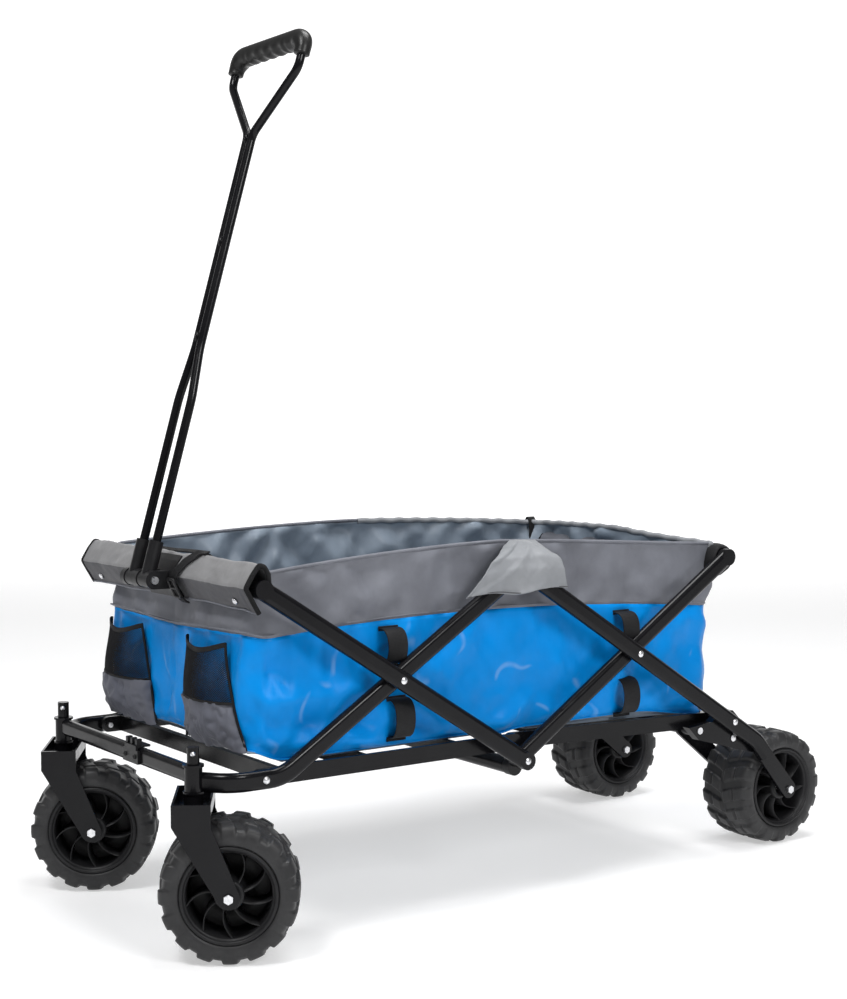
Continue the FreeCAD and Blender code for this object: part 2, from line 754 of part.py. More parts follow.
def tyre(label):
    """The tyre: a rounded carcass and staggered blocks round both shoulders."""
    body = new_body(label)
    section = sketch_on(body, f"{label}_section")
    half, bead = "dims.wheel_width / 2", d("bead_radius")
    crown = "(dims.wheel_radius - dims.tread_depth)"
    polygon(
        section,
        [
            (f"-{half} + 4", bead),
            (f"-{half}", f"{bead} + 6"),
            (f"-{half}", f"{crown} - 12"),
            (f"-{half} + 14", crown),
            (f"{half} - 14", crown),
            (half, f"{crown} - 12"),
            (half, f"{bead} + 6"),
            (f"{half} - 4", bead),
        ],
    )
    revolve(body, section)
    for number, (low, high) in enumerate(((-42, -14), (-14, 14), (14, 42))):
        block = sketch_on(body, f"{label}_block{number}", "XY_Plane")
        block.setExpression("AttachmentOffset.Base.z", "dims.wheel_radius - 14")
        lean = 8 if number == 1 else 0
        polygon(
            block,
            [(str(low), str(-8 + lean)), (str(high), str(-12 - lean)), (str(high), str(6 - lean)), (str(low), str(10 + lean))],
        )
        feature = pad(body, block, "14")
        pattern = body.newObject("PartDesign::PolarPattern", f"{label}_blocks{number}")
        pattern.Originals = [feature]
        axis = next(item for item in body.Origin.OriginFeatures if item.Role == "X_Axis")
        pattern.Axis = (axis, [""])
        pattern.Angle = 360
        pattern.Occurrences = 16
        body.Tip = pattern
        doc.recompute()
    crown_cut = sketch_on(body, f"{label}_crown")
    polygon(
        crown_cut,
        [
            (f"-{half} - 2", "dims.wheel_radius - 9"),
            (f"-{half} + 12", "dims.wheel_radius"),
            (f"{half} - 12", "dims.wheel_radius"),
            (f"{half} + 2", "dims.wheel_radius - 9"),
            (f"{half} + 2", "dims.wheel_radius + 20"),
            (f"-{half} - 2", "dims.wheel_radius + 20"),
        ],
    )
    groove = body.newObject("PartDesign::Groove", f"{label}_crown_turned")
    groove.Profile = crown_cut
    axis = next(item for item in body.Origin.OriginFeatures if item.Role == "X_Axis")
    groove.ReferenceAxis = (axis, [""])
    groove.Angle = 360
    doc.recompute()
    return body


def rim(label):
    """The moulded wheel: a rim ring, a hub with the axle's bore, and leaning spokes between them."""
    body = new_body(label)
    ring = sketch_on(body, f"{label}_ring")
    half = "(dims.wheel_width / 2 - 3)"
    polygon(
        ring,
        [
            (f"-{half}", d("dish_radius")),
            (f"-{half}", d("bead_radius")),
            (half, d("bead_radius")),
            (half, d("dish_radius")),
            ("8", "dims.dish_radius - 5"),
            ("-8", "dims.dish_radius - 5"),
        ],
    )
    revolve(body, ring)
    web = sketch_on(body, f"{label}_web")
    rectangle(web, "-4", "4", "dims.hub_radius - 4", "dims.dish_radius")
    revolve(body, web)
    hub = sketch_on(body, f"{label}_hub", "YZ_Plane")
    circle(hub, d("hub_radius"))
    pad(body, hub, "2 * (dims.wheel_width / 2 - 6)", midplane=True)
    spoke = sketch_on(body, f"{label}_spoke", "YZ_Plane")
    polygon(
        spoke,
        [
            ("-3", "dims.hub_radius - 3"),
            ("2", "dims.hub_radius - 3"),
            ("9", "36"),
            ("8", "dims.dish_radius - 2"),
            ("4", "dims.dish_radius - 2"),
            ("4", "36"),
        ],
    )
    feature = pad(body, spoke, "56", midplane=True)
    pattern = body.newObject("PartDesign::PolarPattern", f"{label}_spokes")
    pattern.Originals = [feature]
    axis = next(item for item in body.Origin.OriginFeatures if item.Role == "X_Axis")
    pattern.Axis = (axis, [""])
    pattern.Angle = 360
    pattern.setExpression("Occurrences", d("spoke_count"))
    body.Tip = pattern
    doc.recompute()
    bore = sketch_on(body, f"{label}_bore", "YZ_Plane")
    circle(bore, "dims.axle_radius + dims.running_clearance")
    pocket(body, bore, midplane=True)
    return body


def axle_bolt(name, inner, outer):
    """A wheel bolt along its own X, with a hexagon nut at each end."""
    shaft = cylinder(f"{name}_shaft", d("axle_radius"), f"({outer}) - ({inner})")
    shaft.Placement = FreeCAD.Placement(Vector(), ALONG_X)
    shaft.setExpression("Placement.Base.x", inner)
    ends = []
    for number, start in enumerate((outer, f"({inner}) - 4.5")):
        nut = doc.addObject("Part::Prism", f"{name}_nut{number}")
        nut.Polygon = 6
        nut.Circumradius = 6.8
        nut.Height = 4.5
        nut.Placement = FreeCAD.Placement(Vector(), ALONG_X)
        nut.setExpression("Placement.Base.x", start)
        ends.append(nut)
    bolt = doc.addObject("Part::MultiFuse", name)
    bolt.Shapes = [shaft, *ends]
    return bolt


def caster_fork(label, mirrored):
    """The yoke and its stem, in the caster's own axes: +Y is the way that it trails."""
    body = new_body(label)
    blade_out = "(dims.yoke_blade_in + dims.yoke_blade)"
    plate = sketch_on(body, f"{label}_plate")
    plate.setExpression("AttachmentOffset.Base.z", d("yoke_plate_z"))
    length = "dims.yoke_length / 2"
    rectangle(plate, f"-{blade_out}", blade_out, f"-{length}", length)
    pad(body, plate, d("yoke_plate"))
    rims = sketch_on(body, f"{label}_rims")
    rims.setExpression("AttachmentOffset.Base.z", d("yoke_plate_z"))
    rectangle(rims, f"-{blade_out}", blade_out, f"-{length}", length)
    rectangle(rims, f"-{blade_out} + 4", f"{blade_out} - 4", f"-{length} + 3", f"{length} - 3")
    pad(body, rims, "dims.yoke_rim_top - dims.yoke_plate_z")
    blades = sketch_on(body, f"{label}_blades", "YZ_Plane")
    hub_y, hub_z, radius = value(d("trail")), value(d("wheel_radius")), value("dims.blade_width / 2")
    back, low_back = value(length), value("dims.yoke_plate_z - 14")
    top = value("dims.yoke_rim_top")
    front_corner_point = Vector(-back, value("dims.yoke_plate_z - 12"), 0)
    back_corner_point = Vector(back, low_back, 0)
    hub = Vector(hub_y, hub_z, 0)

    def tangent_point(corner, turn):
        """Where a line from a corner touches the round end of the blade."""
        reach = corner - hub
        angle = math.atan2(reach.y, reach.x) + turn * math.acos(radius / reach.Length)
        return hub + Vector(math.cos(angle), math.sin(angle), 0) * radius

    low_front = tangent_point(front_corner_point, 1)
    low_rear = tangent_point(back_corner_point, -1)
    down = (hub - (front_corner_point + back_corner_point) * 0.5).normalize()
    blades.addGeometry(Part.LineSegment(Vector(-back, top, 0), front_corner_point))
    blades.addGeometry(Part.LineSegment(front_corner_point, low_front))
    blades.addGeometry(Part.Arc(low_front, hub + down * radius, low_rear))
    blades.addGeometry(Part.LineSegment(low_rear, back_corner_point))
    blades.addGeometry(Part.LineSegment(back_corner_point, Vector(back, top, 0)))
    blades.addGeometry(Part.LineSegment(Vector(back, top, 0), Vector(-back, top, 0)))
    pad(body, blades, f"2 * {blade_out}", midplane=True)
    gap = sketch_on(body, f"{label}_gap")
    gap.AttachmentOffset = FreeCAD.Placement(Vector(0, 0, value("dims.yoke_plate_z")), Rotation())
    rectangle(gap, "-dims.yoke_blade_in", d("yoke_blade_in"), "-90", "90")
    pocket(body, gap, "200")
    well = sketch_on(body, f"{label}_well")
    well.setExpression("AttachmentOffset.Base.z", "dims.yoke_plate_z + dims.yoke_plate")
    rectangle(well, "-dims.yoke_blade_in", d("yoke_blade_in"), f"-{length} + 3", f"{length} - 3")
    pocket(body, well, "40", reverse=True)
    stem = sketch_on(body, f"{label}_stem")
    stem.setExpression("AttachmentOffset.Base.z", d("yoke_plate_z"))
    circle(stem, d("stem_radius"))
    pad(body, stem, "dims.stem_top - dims.yoke_plate_z")
    nut = sketch_on(body, f"{label}_nut")
    nut.setExpression("AttachmentOffset.Base.z", d("yoke_plate_z"))
    circle(nut, "13")
    pad(body, nut, "dims.socket_low - dims.yoke_plate_z - 0.4")
    holes = sketch_on(body, f"{label}_axle_holes", "YZ_Plane")
    circle(holes, d("axle_radius"), d("trail"), d("wheel_radius"))
    pocket(body, holes, midplane=True)
    button = sketch_on(body, f"{label}_button_hole", "YZ_Plane")
    circle(button, "dims.button_radius + dims.running_clearance", "0", d("button_z"))
    pocket(body, button, "dims.stem_radius + 1", reverse=not mirrored)
    return body


def snap_button(name, side):
    """The round-ended button in the stem, which springs outward."""
    shaft = cylinder(f"{name}_shaft", d("button_radius"), "5.7")
    shaft.Placement = FreeCAD.Placement(Vector(3, 0, 0), ALONG_X)
    tip = doc.addObject("Part::Sphere", f"{name}_tip")
    tip.setExpression("Radius", d("button_radius"))
    tip.Placement.Base = Vector(8.7, 0, 0)
    button = doc.addObject("Part::MultiFuse", name)
    button.Shapes = [shaft, tip]
    return button


def caster_turn(side):
    return Rotation(Vector(0, 0, 1), -value(d("steer")))


def casters_and_wheels():
    trail, steer = value(d("trail")), math.radians(value(d("steer")))
    for name, side in SIDES.items():
        king_x, king_y = f"{side} * dims.king_pin_x", "-dims.king_pin_y"
        hub_x = f"{king_x} + dims.trail * sin(dims.steer)"
        hub_y = f"{king_y} + dims.trail * cos(dims.steer)"
        fork = keep(caster_fork(f"caster_fork_{name}", mirrored=False), f"caster_fork_{name}")
        place(fork, king_x, king_y, "0", caster_turn(side))
        button = snap_button(f"snap_button_{name}", side)
        place(button, king_x, king_y, d("button_z"), caster_turn(side))
        keep(button, f"snap_button_{name}")
        half = "(dims.yoke_blade_in + dims.yoke_blade)"
        bolt = keep(axle_bolt(f"front_axle_{name}", f"-{half}", half), f"front_axle_{name}")
        place(bolt, hub_x, hub_y, d("wheel_radius"), caster_turn(side))
        wheel = keep(rim(f"front_rim_{name}"), f"front_rim_{name}")
        place(wheel, hub_x, hub_y, d("wheel_radius"), caster_turn(side))
        rubber = keep(tyre(f"front_tyre_{name}"), f"front_tyre_{name}")
        place(rubber, hub_x, hub_y, d("wheel_radius"), caster_turn(side))
        rear_x = f"{side} * dims.rear_wheel_x"
        wheel = keep(rim(f"rear_rim_{name}"), f"rear_rim_{name}")
        place(wheel, rear_x, d("rear_wheel_y"), d("wheel_radius"))
        rubber = keep(tyre(f"rear_tyre_{name}"), f"rear_tyre_{name}")
        place(rubber, rear_x, d("rear_wheel_y"), d("wheel_radius"))
    bolts = []
    for name, side in SIDES.items():
        inner = "-dims.wheel_width / 2 - 9 - dims.blade_thickness / 2"
        outer = f"({OUTER_LAYER}) + dims.blade_thickness - dims.rear_wheel_x"
        bolt = axle_bolt(f"rear_axle_{name}", inner, outer)
        turn = Rotation() if side > 0 else Rotation(Vector(0, 0, 1), 180)
        bolts.append(place(bolt, f"{side} * dims.rear_wheel_x", d("rear_wheel_y"), d("wheel_radius"), turn))
    group("rear_axle_bolts", bolts)


# ---------------------------------------------------------------- handle


def handle_frame(piece):
    """Set a handle piece that was drawn upright about the pivot at the handle's lean."""
    lean = 90 - value(d("handle_lean"))
    place(piece, "0", "-dims.handle_pivot_y", d("handle_pivot_z"), Rotation(Vector(1, 0, 0), -lean))
    return piece


def handle():
    radius = value(d("handle_tube_radius"))
    tubes = []
    for name, side in SIDES.items():
        points = [
            Vector(side * value(d("handle_foot_x")), 0, 14),
            Vector(side * value(d("handle_foot_x")), 0, 270),
            Vector(side * (radius + 0.5), 0, 345),
            Vector(side * (radius + 0.5), 0, value(d("fork_start"))),
            Vector(side * value(d("grip_half_width")), 0, value(d("fork_end"))),
            Vector(side * value(d("grip_half_width")), 0, value(d("grip_axis")) - 2),
        ]
        edges = []
        start = points[0]
        for before, corner, after, bend in zip(points, points[1:], points[2:], (120, 120, 26, 26)):
            into, out = (corner - before).normalize(), (after - corner).normalize()
            half_turn = into.getAngle(out) / 2
            setback = bend * math.tan(half_turn)
            middle = corner + (out - into).normalize() * (bend / math.cos(half_turn) - bend)
            arc_start, arc_end = corner - into * setback, corner + out * setback
            edges.append(Part.LineSegment(start, arc_start).toShape())
            edges.append(Part.Arc(arc_start, middle, arc_end).toShape())
            start = arc_end
        edges.append(Part.LineSegment(start, points[-1]).toShape())
        spine = Part.Wire(edges)
        outer = Part.Wire(Part.makeCircle(radius, points[0], Vector(0, 0, 1)))
        solid = spine.makePipeShell([outer], True, False)
        expected = math.pi * radius**2 * spine.Length
        if abs(solid.Volume / expected - 1) > 0.02:
            raise RuntimeError("the handle tube's sweep has the wrong volume")
        tube = doc.addObject("Part::Feature", f"handle_tube_{name}")
        tube.Shape = solid
        tubes.append(handle_frame(tube))
    group("handle_tubes", tubes)
    grip = new_body("handle_grip")
    half = "dims.grip_half_width"
    bar = sketch_on(grip, "grip_bar", "YZ_Plane")
    circle(bar, "dims.grip_radius", "0", "dims.grip_axis")
    pad(grip, bar, f"2 * {half}", midplane=True)
    for number, side in enumerate((1, -1)):
        leg = sketch_on(grip, f"grip_leg{number}")
        leg.setExpression("AttachmentOffset.Base.z", "dims.grip_foot")
        circle(leg, "dims.grip_radius - 4", f"{side} * {half}")
        pad(grip, leg, "dims.grip_axis - dims.grip_foot")
        knuckle = sketch_on(grip, f"grip_knuckle{number}", "YZ_Plane")
        knuckle.setExpression("AttachmentOffset.Base.z", f"{side} * {half} - dims.grip_radius + 1.5")
        circle(knuckle, "dims.grip_radius - 1.5", "0", "dims.grip_axis")
        pad(grip, knuckle, "2 * (dims.grip_radius - 1.5)")
    sockets = sketch_on(grip, "grip_sockets")
    sockets.setExpression("AttachmentOffset.Base.z", "dims.grip_axis - 2")
    for side in (1, -1):
        circle(sockets, d("handle_tube_radius"), f"{side} * {half}")
    pocket(grip, sockets, "60")
    keep(handle_frame(grip), "handle_grip")
    fittings = []
    for name, side in SIDES.items():
        fitting = new_body(f"handle_fitting_{name}")
        knuckle = sketch_on(fitting, f"fitting_eye_{name}", "YZ_Plane")
        knuckle.setExpression("AttachmentOffset.Base.z", f"{side} * {d('handle_foot_x')}")
        circle(knuckle, "12")
        pad(fitting, knuckle, "18", midplane=True)
        barrel = sketch_on(fitting, f"fitting_barrel_{name}")
        circle(barrel, "10.5", f"{side} * {d('handle_foot_x')}")
        pad(fitting, barrel, "56")
        bore = sketch_on(fitting, f"fitting_bore_{name}")
        bore.setExpression("AttachmentOffset.Base.z", "14")
        circle(bore, d("handle_tube_radius"), f"{side} * {d('handle_foot_x')}")
        pocket(fitting, bore, "60", reverse=True)
        hole = sketch_on(fitting, f"fitting_hole_{name}", "YZ_Plane")
        circle(hole, PIN_HOLE)
        pocket(fitting, hole, midplane=True)
        fittings.append(handle_frame(fitting))
    group("handle_end_fittings", fittings)


def handle_bracket():
    """The plastic bracket on the front rail: a curved back plate and three lugs for the handle's bolt."""
    body = new_body("handle_bracket")
    plate = sketch_on(body, "bracket_plate")
    outline = [
        (-453.5, 526.9),
        (-459.6, 519.5),
        (-470.4, 501.2),
        (-470.4, 495.7),
        (-451.3, 465.0),
        (-448.9, 468.4),
        (-466.6, 496.8),
        (-466.6, 500.2),
        (-456.5, 517.3),
        (-450.8, 524.1),
    ]
    polygon(plate, [(str(y), str(z)) for y, z in outline])
    pad(body, plate, "104", midplane=True)
    for number, (low, high) in enumerate(((-43, -31), (-9.5, 9.5), (31, 43))):
        lug = sketch_on(body, f"bracket_lug{number}")
        lug.AttachmentOffset = FreeCAD.Placement(Vector(0, 0, low), Rotation())
        outline = [(-493, 479.7), (-493, 505.7), (-465.8, 505), (-468.4, 500), (-468.4, 497), (-457.8, 479.3)]
        polygon(lug, [(str(y), str(z)) for y, z in outline])
        pad(body, lug, str(high - low))
        nose = sketch_on(body, f"bracket_nose{number}")
        nose.AttachmentOffset = FreeCAD.Placement(Vector(0, 0, low), Rotation())
        circle(nose, "13", "-dims.handle_pivot_y", d("handle_pivot_z"))
        pad(body, nose, str(high - low))
    hole = sketch_on(body, "bracket_hole")
    circle(hole, "dims.pin_radius", "-dims.handle_pivot_y", d("handle_pivot_z"))
    pocket(body, hole, midplane=True)
    keep(place(body, "0", "0", "0", SIDE_PLANE), "handle_bracket")
    bolt = cylinder("handle_bolt_shaft", d("pin_radius"), "86")
    bolt.Placement = FreeCAD.Placement(Vector(-43, 0, 0), ALONG_X)
    heads = []
    for number, start in enumerate((43, -46.5)):
        head = doc.addObject("Part::Cylinder", f"handle_bolt_head{number}")
        head.Radius = 5.5
        head.Height = 3.5
        head.Placement = FreeCAD.Placement(Vector(start, 0, 0), ALONG_X)
        heads.append(head)
    whole = doc.addObject("Part::MultiFuse", "handle_bolt")
    whole.Shapes = [bolt, *heads]
    place(whole, "0", "-dims.handle_pivot_y", d("handle_pivot_z"))
    keep(whole, "handle_bolt")


# ---------------------------------------------------------------- folding floor


def floor_half(end, forward, pin_y, pin_z, face):
    """One half of the floor: a rail each side from its pin to the middle, cross bars and a panel."""
    thickness, height = d("floor_rail_thickness"), d("floor_rail_height")
    drop = f"(dims.floor_z - ({pin_z}))"
    angle = math.degrees(math.atan2(value(drop), value(pin_y)))
    length = math.hypot(value(drop), value(pin_y))
    turn = side_view(angle, -forward)
    rails = []
    for name, side in SIDES.items():
        rail = new_body(f"{end}_floor_rail_{name}")
        strip = sketch_on(rail, f"{end}_strip_{name}")
        rectangle(strip, "0", str(length), f"-{height} / 2", f"{height} / 2")
        pad(rail, strip, thickness, midplane=True)
        for number, x in enumerate(("0", str(length))):
            end_round = sketch_on(rail, f"{end}_round_{name}{number}")
            circle(end_round, f"{height} / 2", x)
            pad(rail, end_round, thickness, midplane=True)
        holes = sketch_on(rail, f"{end}_rail_hole_{name}")
        circle(holes, PIN_HOLE)
        pocket(rail, holes, "40", midplane=True)
        middle = f"{side} * ({face} - {thickness} / 2)"
        rails.append(place(rail, middle, f"{forward} * ({pin_y})", pin_z, turn))
    group(f"{end}_floor_rails", rails)
    bars = []
    for number, distance in enumerate((26, 170, length - 110)):
        bar = new_body(f"{end}_floor_bar_{number}")
        section = sketch_on(bar, f"{end}_bar_section_{number}")
        rectangle(section, f"{distance} - 5", f"{distance} + 5", f"-{height} / 2", f"{height} / 2")
        pad(bar, section, f"2 * ({face} - {thickness})", midplane=True)
        bars.append(place(bar, "0", f"{forward} * ({pin_y})", pin_z, turn))
    group(f"{end}_floor_bars", bars)
    panel = new_body(f"{end}_floor_panel")
    outline = sketch_on(panel, f"{end}_panel_section")
    low, high = f"{height} / 2", f"{height} / 2 + dims.panel_thickness"
    if forward > 0:
        rectangle(outline, "22", str(length - 38), f"-({high})", f"-({low})")
    else:
        rectangle(outline, "48", str(length - 38), low, high)
    pad(panel, outline, "2 * dims.panel_half_width", midplane=True)
    place(panel, "0", f"{forward} * ({pin_y})", pin_z, turn)
    keep(panel, f"{end}_floor_panel")


# ---------------------------------------------------------------- fabric


def basket():
    body = new_body("basket_fabric")
    half, wall = "dims.basket_half_width", "dims.basket_wall"
    rear = "dims.basket_rear"
    ledge = "(dims.basket_ledge_z - dims.basket_floor_z)"
    # the front wall steps back above the ledge, so that its rim passes behind the front rail
    rings = (
        ("low", "dims.basket_front", "0", f"{ledge} + {wall}"),
        ("high", "dims.basket_rim_front", ledge, "dims.rim_middle_z - dims.basket_ledge_z"),
    )
    for name, front, base, height in rings:
        ring = sketch_on(body, f"basket_ring_{name}")
        ring.setExpression("AttachmentOffset.Base.z", base)
        rectangle(ring, f"-{half}", half, f"-{front}", rear)
        rectangle(ring, f"-{half} + {wall}", f"{half} - {wall}", f"-{front} + {wall}", f"{rear} - {wall}")
        pad(body, ring, height)
    shelf = sketch_on(body, "basket_ledge")
    shelf.setExpression("AttachmentOffset.Base.z", ledge)
    rectangle(shelf, f"-{half}", half, "-dims.basket_front", f"-dims.basket_rim_front + {wall}")
    pad(body, shelf, wall)
    rim_cut = sketch_on(body, "basket_rim", "YZ_Plane")
    low = value("dims.rim_corner_z - dims.basket_floor_z")
    high = value("dims.rim_middle_z - dims.basket_floor_z")
    ends = Vector(-460, low, 0), Vector(0, high, 0), Vector(460, low, 0)
    rim_cut.addGeometry(Part.Arc(*ends))
    corners = [ends[2], Vector(460, high + 20, 0), Vector(-460, high + 20, 0), ends[0]]
    for start, end in zip(corners, corners[1:]):
        rim_cut.addGeometry(Part.LineSegment(start, end))
    pocket(body, rim_cut, midplane=True)
    # the strip of fabric floor between the two hard panels, over the floor's middle hinge
    strip = sketch_on(body, "basket_strip")
    rectangle(strip, f"-{half} + {wall} / 2", f"{half} - {wall} / 2", "-36", "36")
    pad(body, strip, wall)
    keep(place(body, "0", "0", d("basket_floor_z")), "basket_fabric")


def cup_pockets():
    """The two cup pockets on the front panel, each a flat pouch open at the top."""
    pouches = []
    for name, side in SIDES.items():
        pouch = new_body(f"cup_pocket_{name}")
        face = sketch_on(pouch, f"pouch_face_{name}", "XZ_Plane")
        polygon(face, [("-80", "0"), ("80", "0"), ("64", "150"), ("-64", "150")])
        pad(pouch, face, "34")
        hollow = sketch_on(pouch, f"pouch_hollow_{name}", "XZ_Plane")
        hollow.setExpression("AttachmentOffset.Base.z", "2")
        polygon(hollow, [("-77", "3"), ("77", "3"), ("61", "160"), ("-61", "160")])
        pocket(pouch, hollow, "30", reverse=True)
        pouches.append(place(pouch, f"{side} * 132", "-dims.basket_front - 0.4", "264"))
    group("cup_pockets", pouches)


def rail_sleeves():
    """The padded fabric wrapped round the top rails."""
    sleeve = new_body("front_rail_sleeve")
    face = sketch_on(sleeve, "front_sleeve_face")
    outline = [
        (-432.6, 487),
        (-432.6, 518),
        (-438, 526),
        (-446, 529),
        (-456, 517),
        (-466, 500),
        (-466, 497),
        (-445.5, 464),
        (-441.5, 464),
        (-441.5, 479),
    ]
    polygon(face, [(str(y), str(z)) for y, z in outline])
    circle(face, "dims.rail_radius + 0.2", "-dims.front_arm_reach", d("front_rail_z"))
    pad(sleeve, face, "523", midplane=True)
    keep(place(sleeve, "0", "0", "0", SIDE_PLANE), "front_rail_sleeve")
    wrap = new_body("rear_rail_sleeve")
    section = sketch_on(wrap, "rear_sleeve_face")
    circle(section, "dims.rail_radius + 3.5")
    circle(section, "dims.rail_radius + 0.2")
    pad(wrap, section, "456", midplane=True)
    keep(place(wrap, "0", d("rear_arm_reach"), d("rear_rail_z"), SIDE_PLANE), "rear_rail_sleeve")


def trim():
    """Webbing loops on the sides, flaps over the top middle joints, and the strap round the front rail."""
    loops = []
    for side in SIDES.values():
        for y, z, height in ((-219, 403, 50), (-209, 294, 58), (220, 396, 50), (224, 283, 60)):
            loop = doc.addObject("Part::Box", "webbing_loop")
            loop.Length = 8
            loop.Width = 26
            loop.Height = height
            near = f"{side} * (dims.basket_half_width + 4.4) - 4"
            loops.append(place(loop, near, f"{y} - 13", f"{z} - {height} / 2"))
    group("webbing_loops", loops)
    flaps = []
    for name, side in SIDES.items():
        flap = new_body(f"joint_flap_{name}")
        section = sketch_on(flap, f"flap_section_{name}", "XZ_Plane")
        inner = "dims.basket_half_width + 0.5"
        corners = [(inner, "514"), (inner, "517"), ("286", "517"), ("286", "462"), ("283", "462"), ("283", "514")]
        polygon(section, [(f"{side} * ({x})", z) for x, z in corners])
        pad(flap, section, "170", midplane=True)
        flaps.append(place(flap, "0", "-15"))
    group("joint_flaps", flaps)
    strap = new_body("rail_strap")
    face = sketch_on(strap, "strap_face")
    outer = [
        (-429.6, 486.4), (-429.6, 518.9), (-436, 528.5), (-446.9, 532.6), (-458.5, 518.7),
        (-469, 500.8), (-469, 496.1), (-447.2, 461), (-439.5, 461), (-439.5, 477.6),
    ]
    inner = [
        (-432.2, 486.9), (-432.2, 518.1), (-437.7, 526.3), (-446.1, 529.5), (-456.3, 517.2),
        (-466.4, 500.1), (-466.4, 496.9), (-445.7, 463.6), (-441.1, 463.6), (-441.1, 478.6),
    ]
    polygon(face, [(str(y), str(z)) for y, z in outer])
    polygon(face, [(str(y), str(z)) for y, z in inner])
    pad(strap, face, "24", midplane=True)
    place(strap, "78", "0", "0", SIDE_PLANE)
    keep(strap, "rail_strap")


mid_frame()
upper_frames()
front_frame()
handle_catch()
rear_frame()
casters_and_wheels()
handle()
handle_bracket()
floor_half("front", -1, d("front_pin_y"), d("floor_z"), d("floor_rail_face"))
REAR_RAIL_FACE = "(dims.floor_rail_face - dims.floor_rail_thickness - 0.5)"
floor_half("rear", 1, d("rear_pin_y"), d("rear_pin_z"), REAR_RAIL_FACE)
basket()
cup_pockets()
rail_sleeves()
trim()

doc.recompute()
faulty = [item.Label for item in doc.Objects if {"Invalid", "Error"} & set(item.State)]
for piece in PARTS:
    if piece.Shape.isNull() or not piece.Shape.isValid():
        faulty.append(piece.Label)
if faulty:
    raise RuntimeError(f"these objects failed: {faulty}")

os.makedirs("parts", exist_ok=True)
for piece in PARTS:
    piece.Shape.exportStep(f"parts/{piece.Label}.step")
print(f"{len(PARTS)} sub-parts written")
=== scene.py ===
"""Looks of the folding beach cart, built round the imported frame."""

import json
import math

import bmesh
import bpy
import numpy as np
from mathutils import Matrix, Vector, noise

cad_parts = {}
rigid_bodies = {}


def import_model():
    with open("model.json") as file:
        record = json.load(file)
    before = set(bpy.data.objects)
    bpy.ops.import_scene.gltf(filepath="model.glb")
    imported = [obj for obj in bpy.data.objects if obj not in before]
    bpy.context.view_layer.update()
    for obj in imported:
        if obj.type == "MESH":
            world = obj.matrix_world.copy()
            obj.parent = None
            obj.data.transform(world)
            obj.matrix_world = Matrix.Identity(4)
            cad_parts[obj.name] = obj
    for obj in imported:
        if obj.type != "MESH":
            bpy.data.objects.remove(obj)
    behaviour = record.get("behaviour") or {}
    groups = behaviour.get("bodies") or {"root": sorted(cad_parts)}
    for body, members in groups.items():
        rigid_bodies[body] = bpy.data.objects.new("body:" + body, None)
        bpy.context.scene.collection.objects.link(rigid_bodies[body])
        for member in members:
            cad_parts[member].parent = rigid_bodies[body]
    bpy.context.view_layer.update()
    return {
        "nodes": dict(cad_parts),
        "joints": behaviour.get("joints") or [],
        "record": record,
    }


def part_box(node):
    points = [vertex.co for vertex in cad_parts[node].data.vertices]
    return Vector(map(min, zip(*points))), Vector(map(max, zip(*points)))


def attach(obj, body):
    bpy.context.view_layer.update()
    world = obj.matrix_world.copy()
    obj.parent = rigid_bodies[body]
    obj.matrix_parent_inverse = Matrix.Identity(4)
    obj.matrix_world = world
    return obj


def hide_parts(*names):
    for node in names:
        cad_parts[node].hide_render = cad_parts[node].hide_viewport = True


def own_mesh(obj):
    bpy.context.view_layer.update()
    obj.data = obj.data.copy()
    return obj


for leftover in list(bpy.data.objects):
    bpy.data.objects.remove(leftover)

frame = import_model()
MM = 0.001
SIDES = {"left": 1, "right": -1}


def middle_of(node):
    """The middle of a CAD node's box."""
    low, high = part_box(node)
    return (low + high) / 2


# The cart's own mid plane and its middle joints, which every piece is placed from.
MID = middle_of("lower_cross_tube")


def at(x, y, z):
    """A point in metres from millimetres out from the mid plane, back from the middle joints, and up."""
    return Vector((MID.x + x * MM, MID.y + y * MM, z * MM))


def smooth(low, high, value):
    """0 below low, 1 above high, and an even slope that eases in and out between them."""
    share = min(max((value - low) / (high - low), 0.0), 1.0)
    return share * share * (3 - 2 * share)


def mix(a, b, share):
    """From a at share 0 to b at share 1."""
    return a + (b - a) * share


# ---------------------------------------------------------------- materials


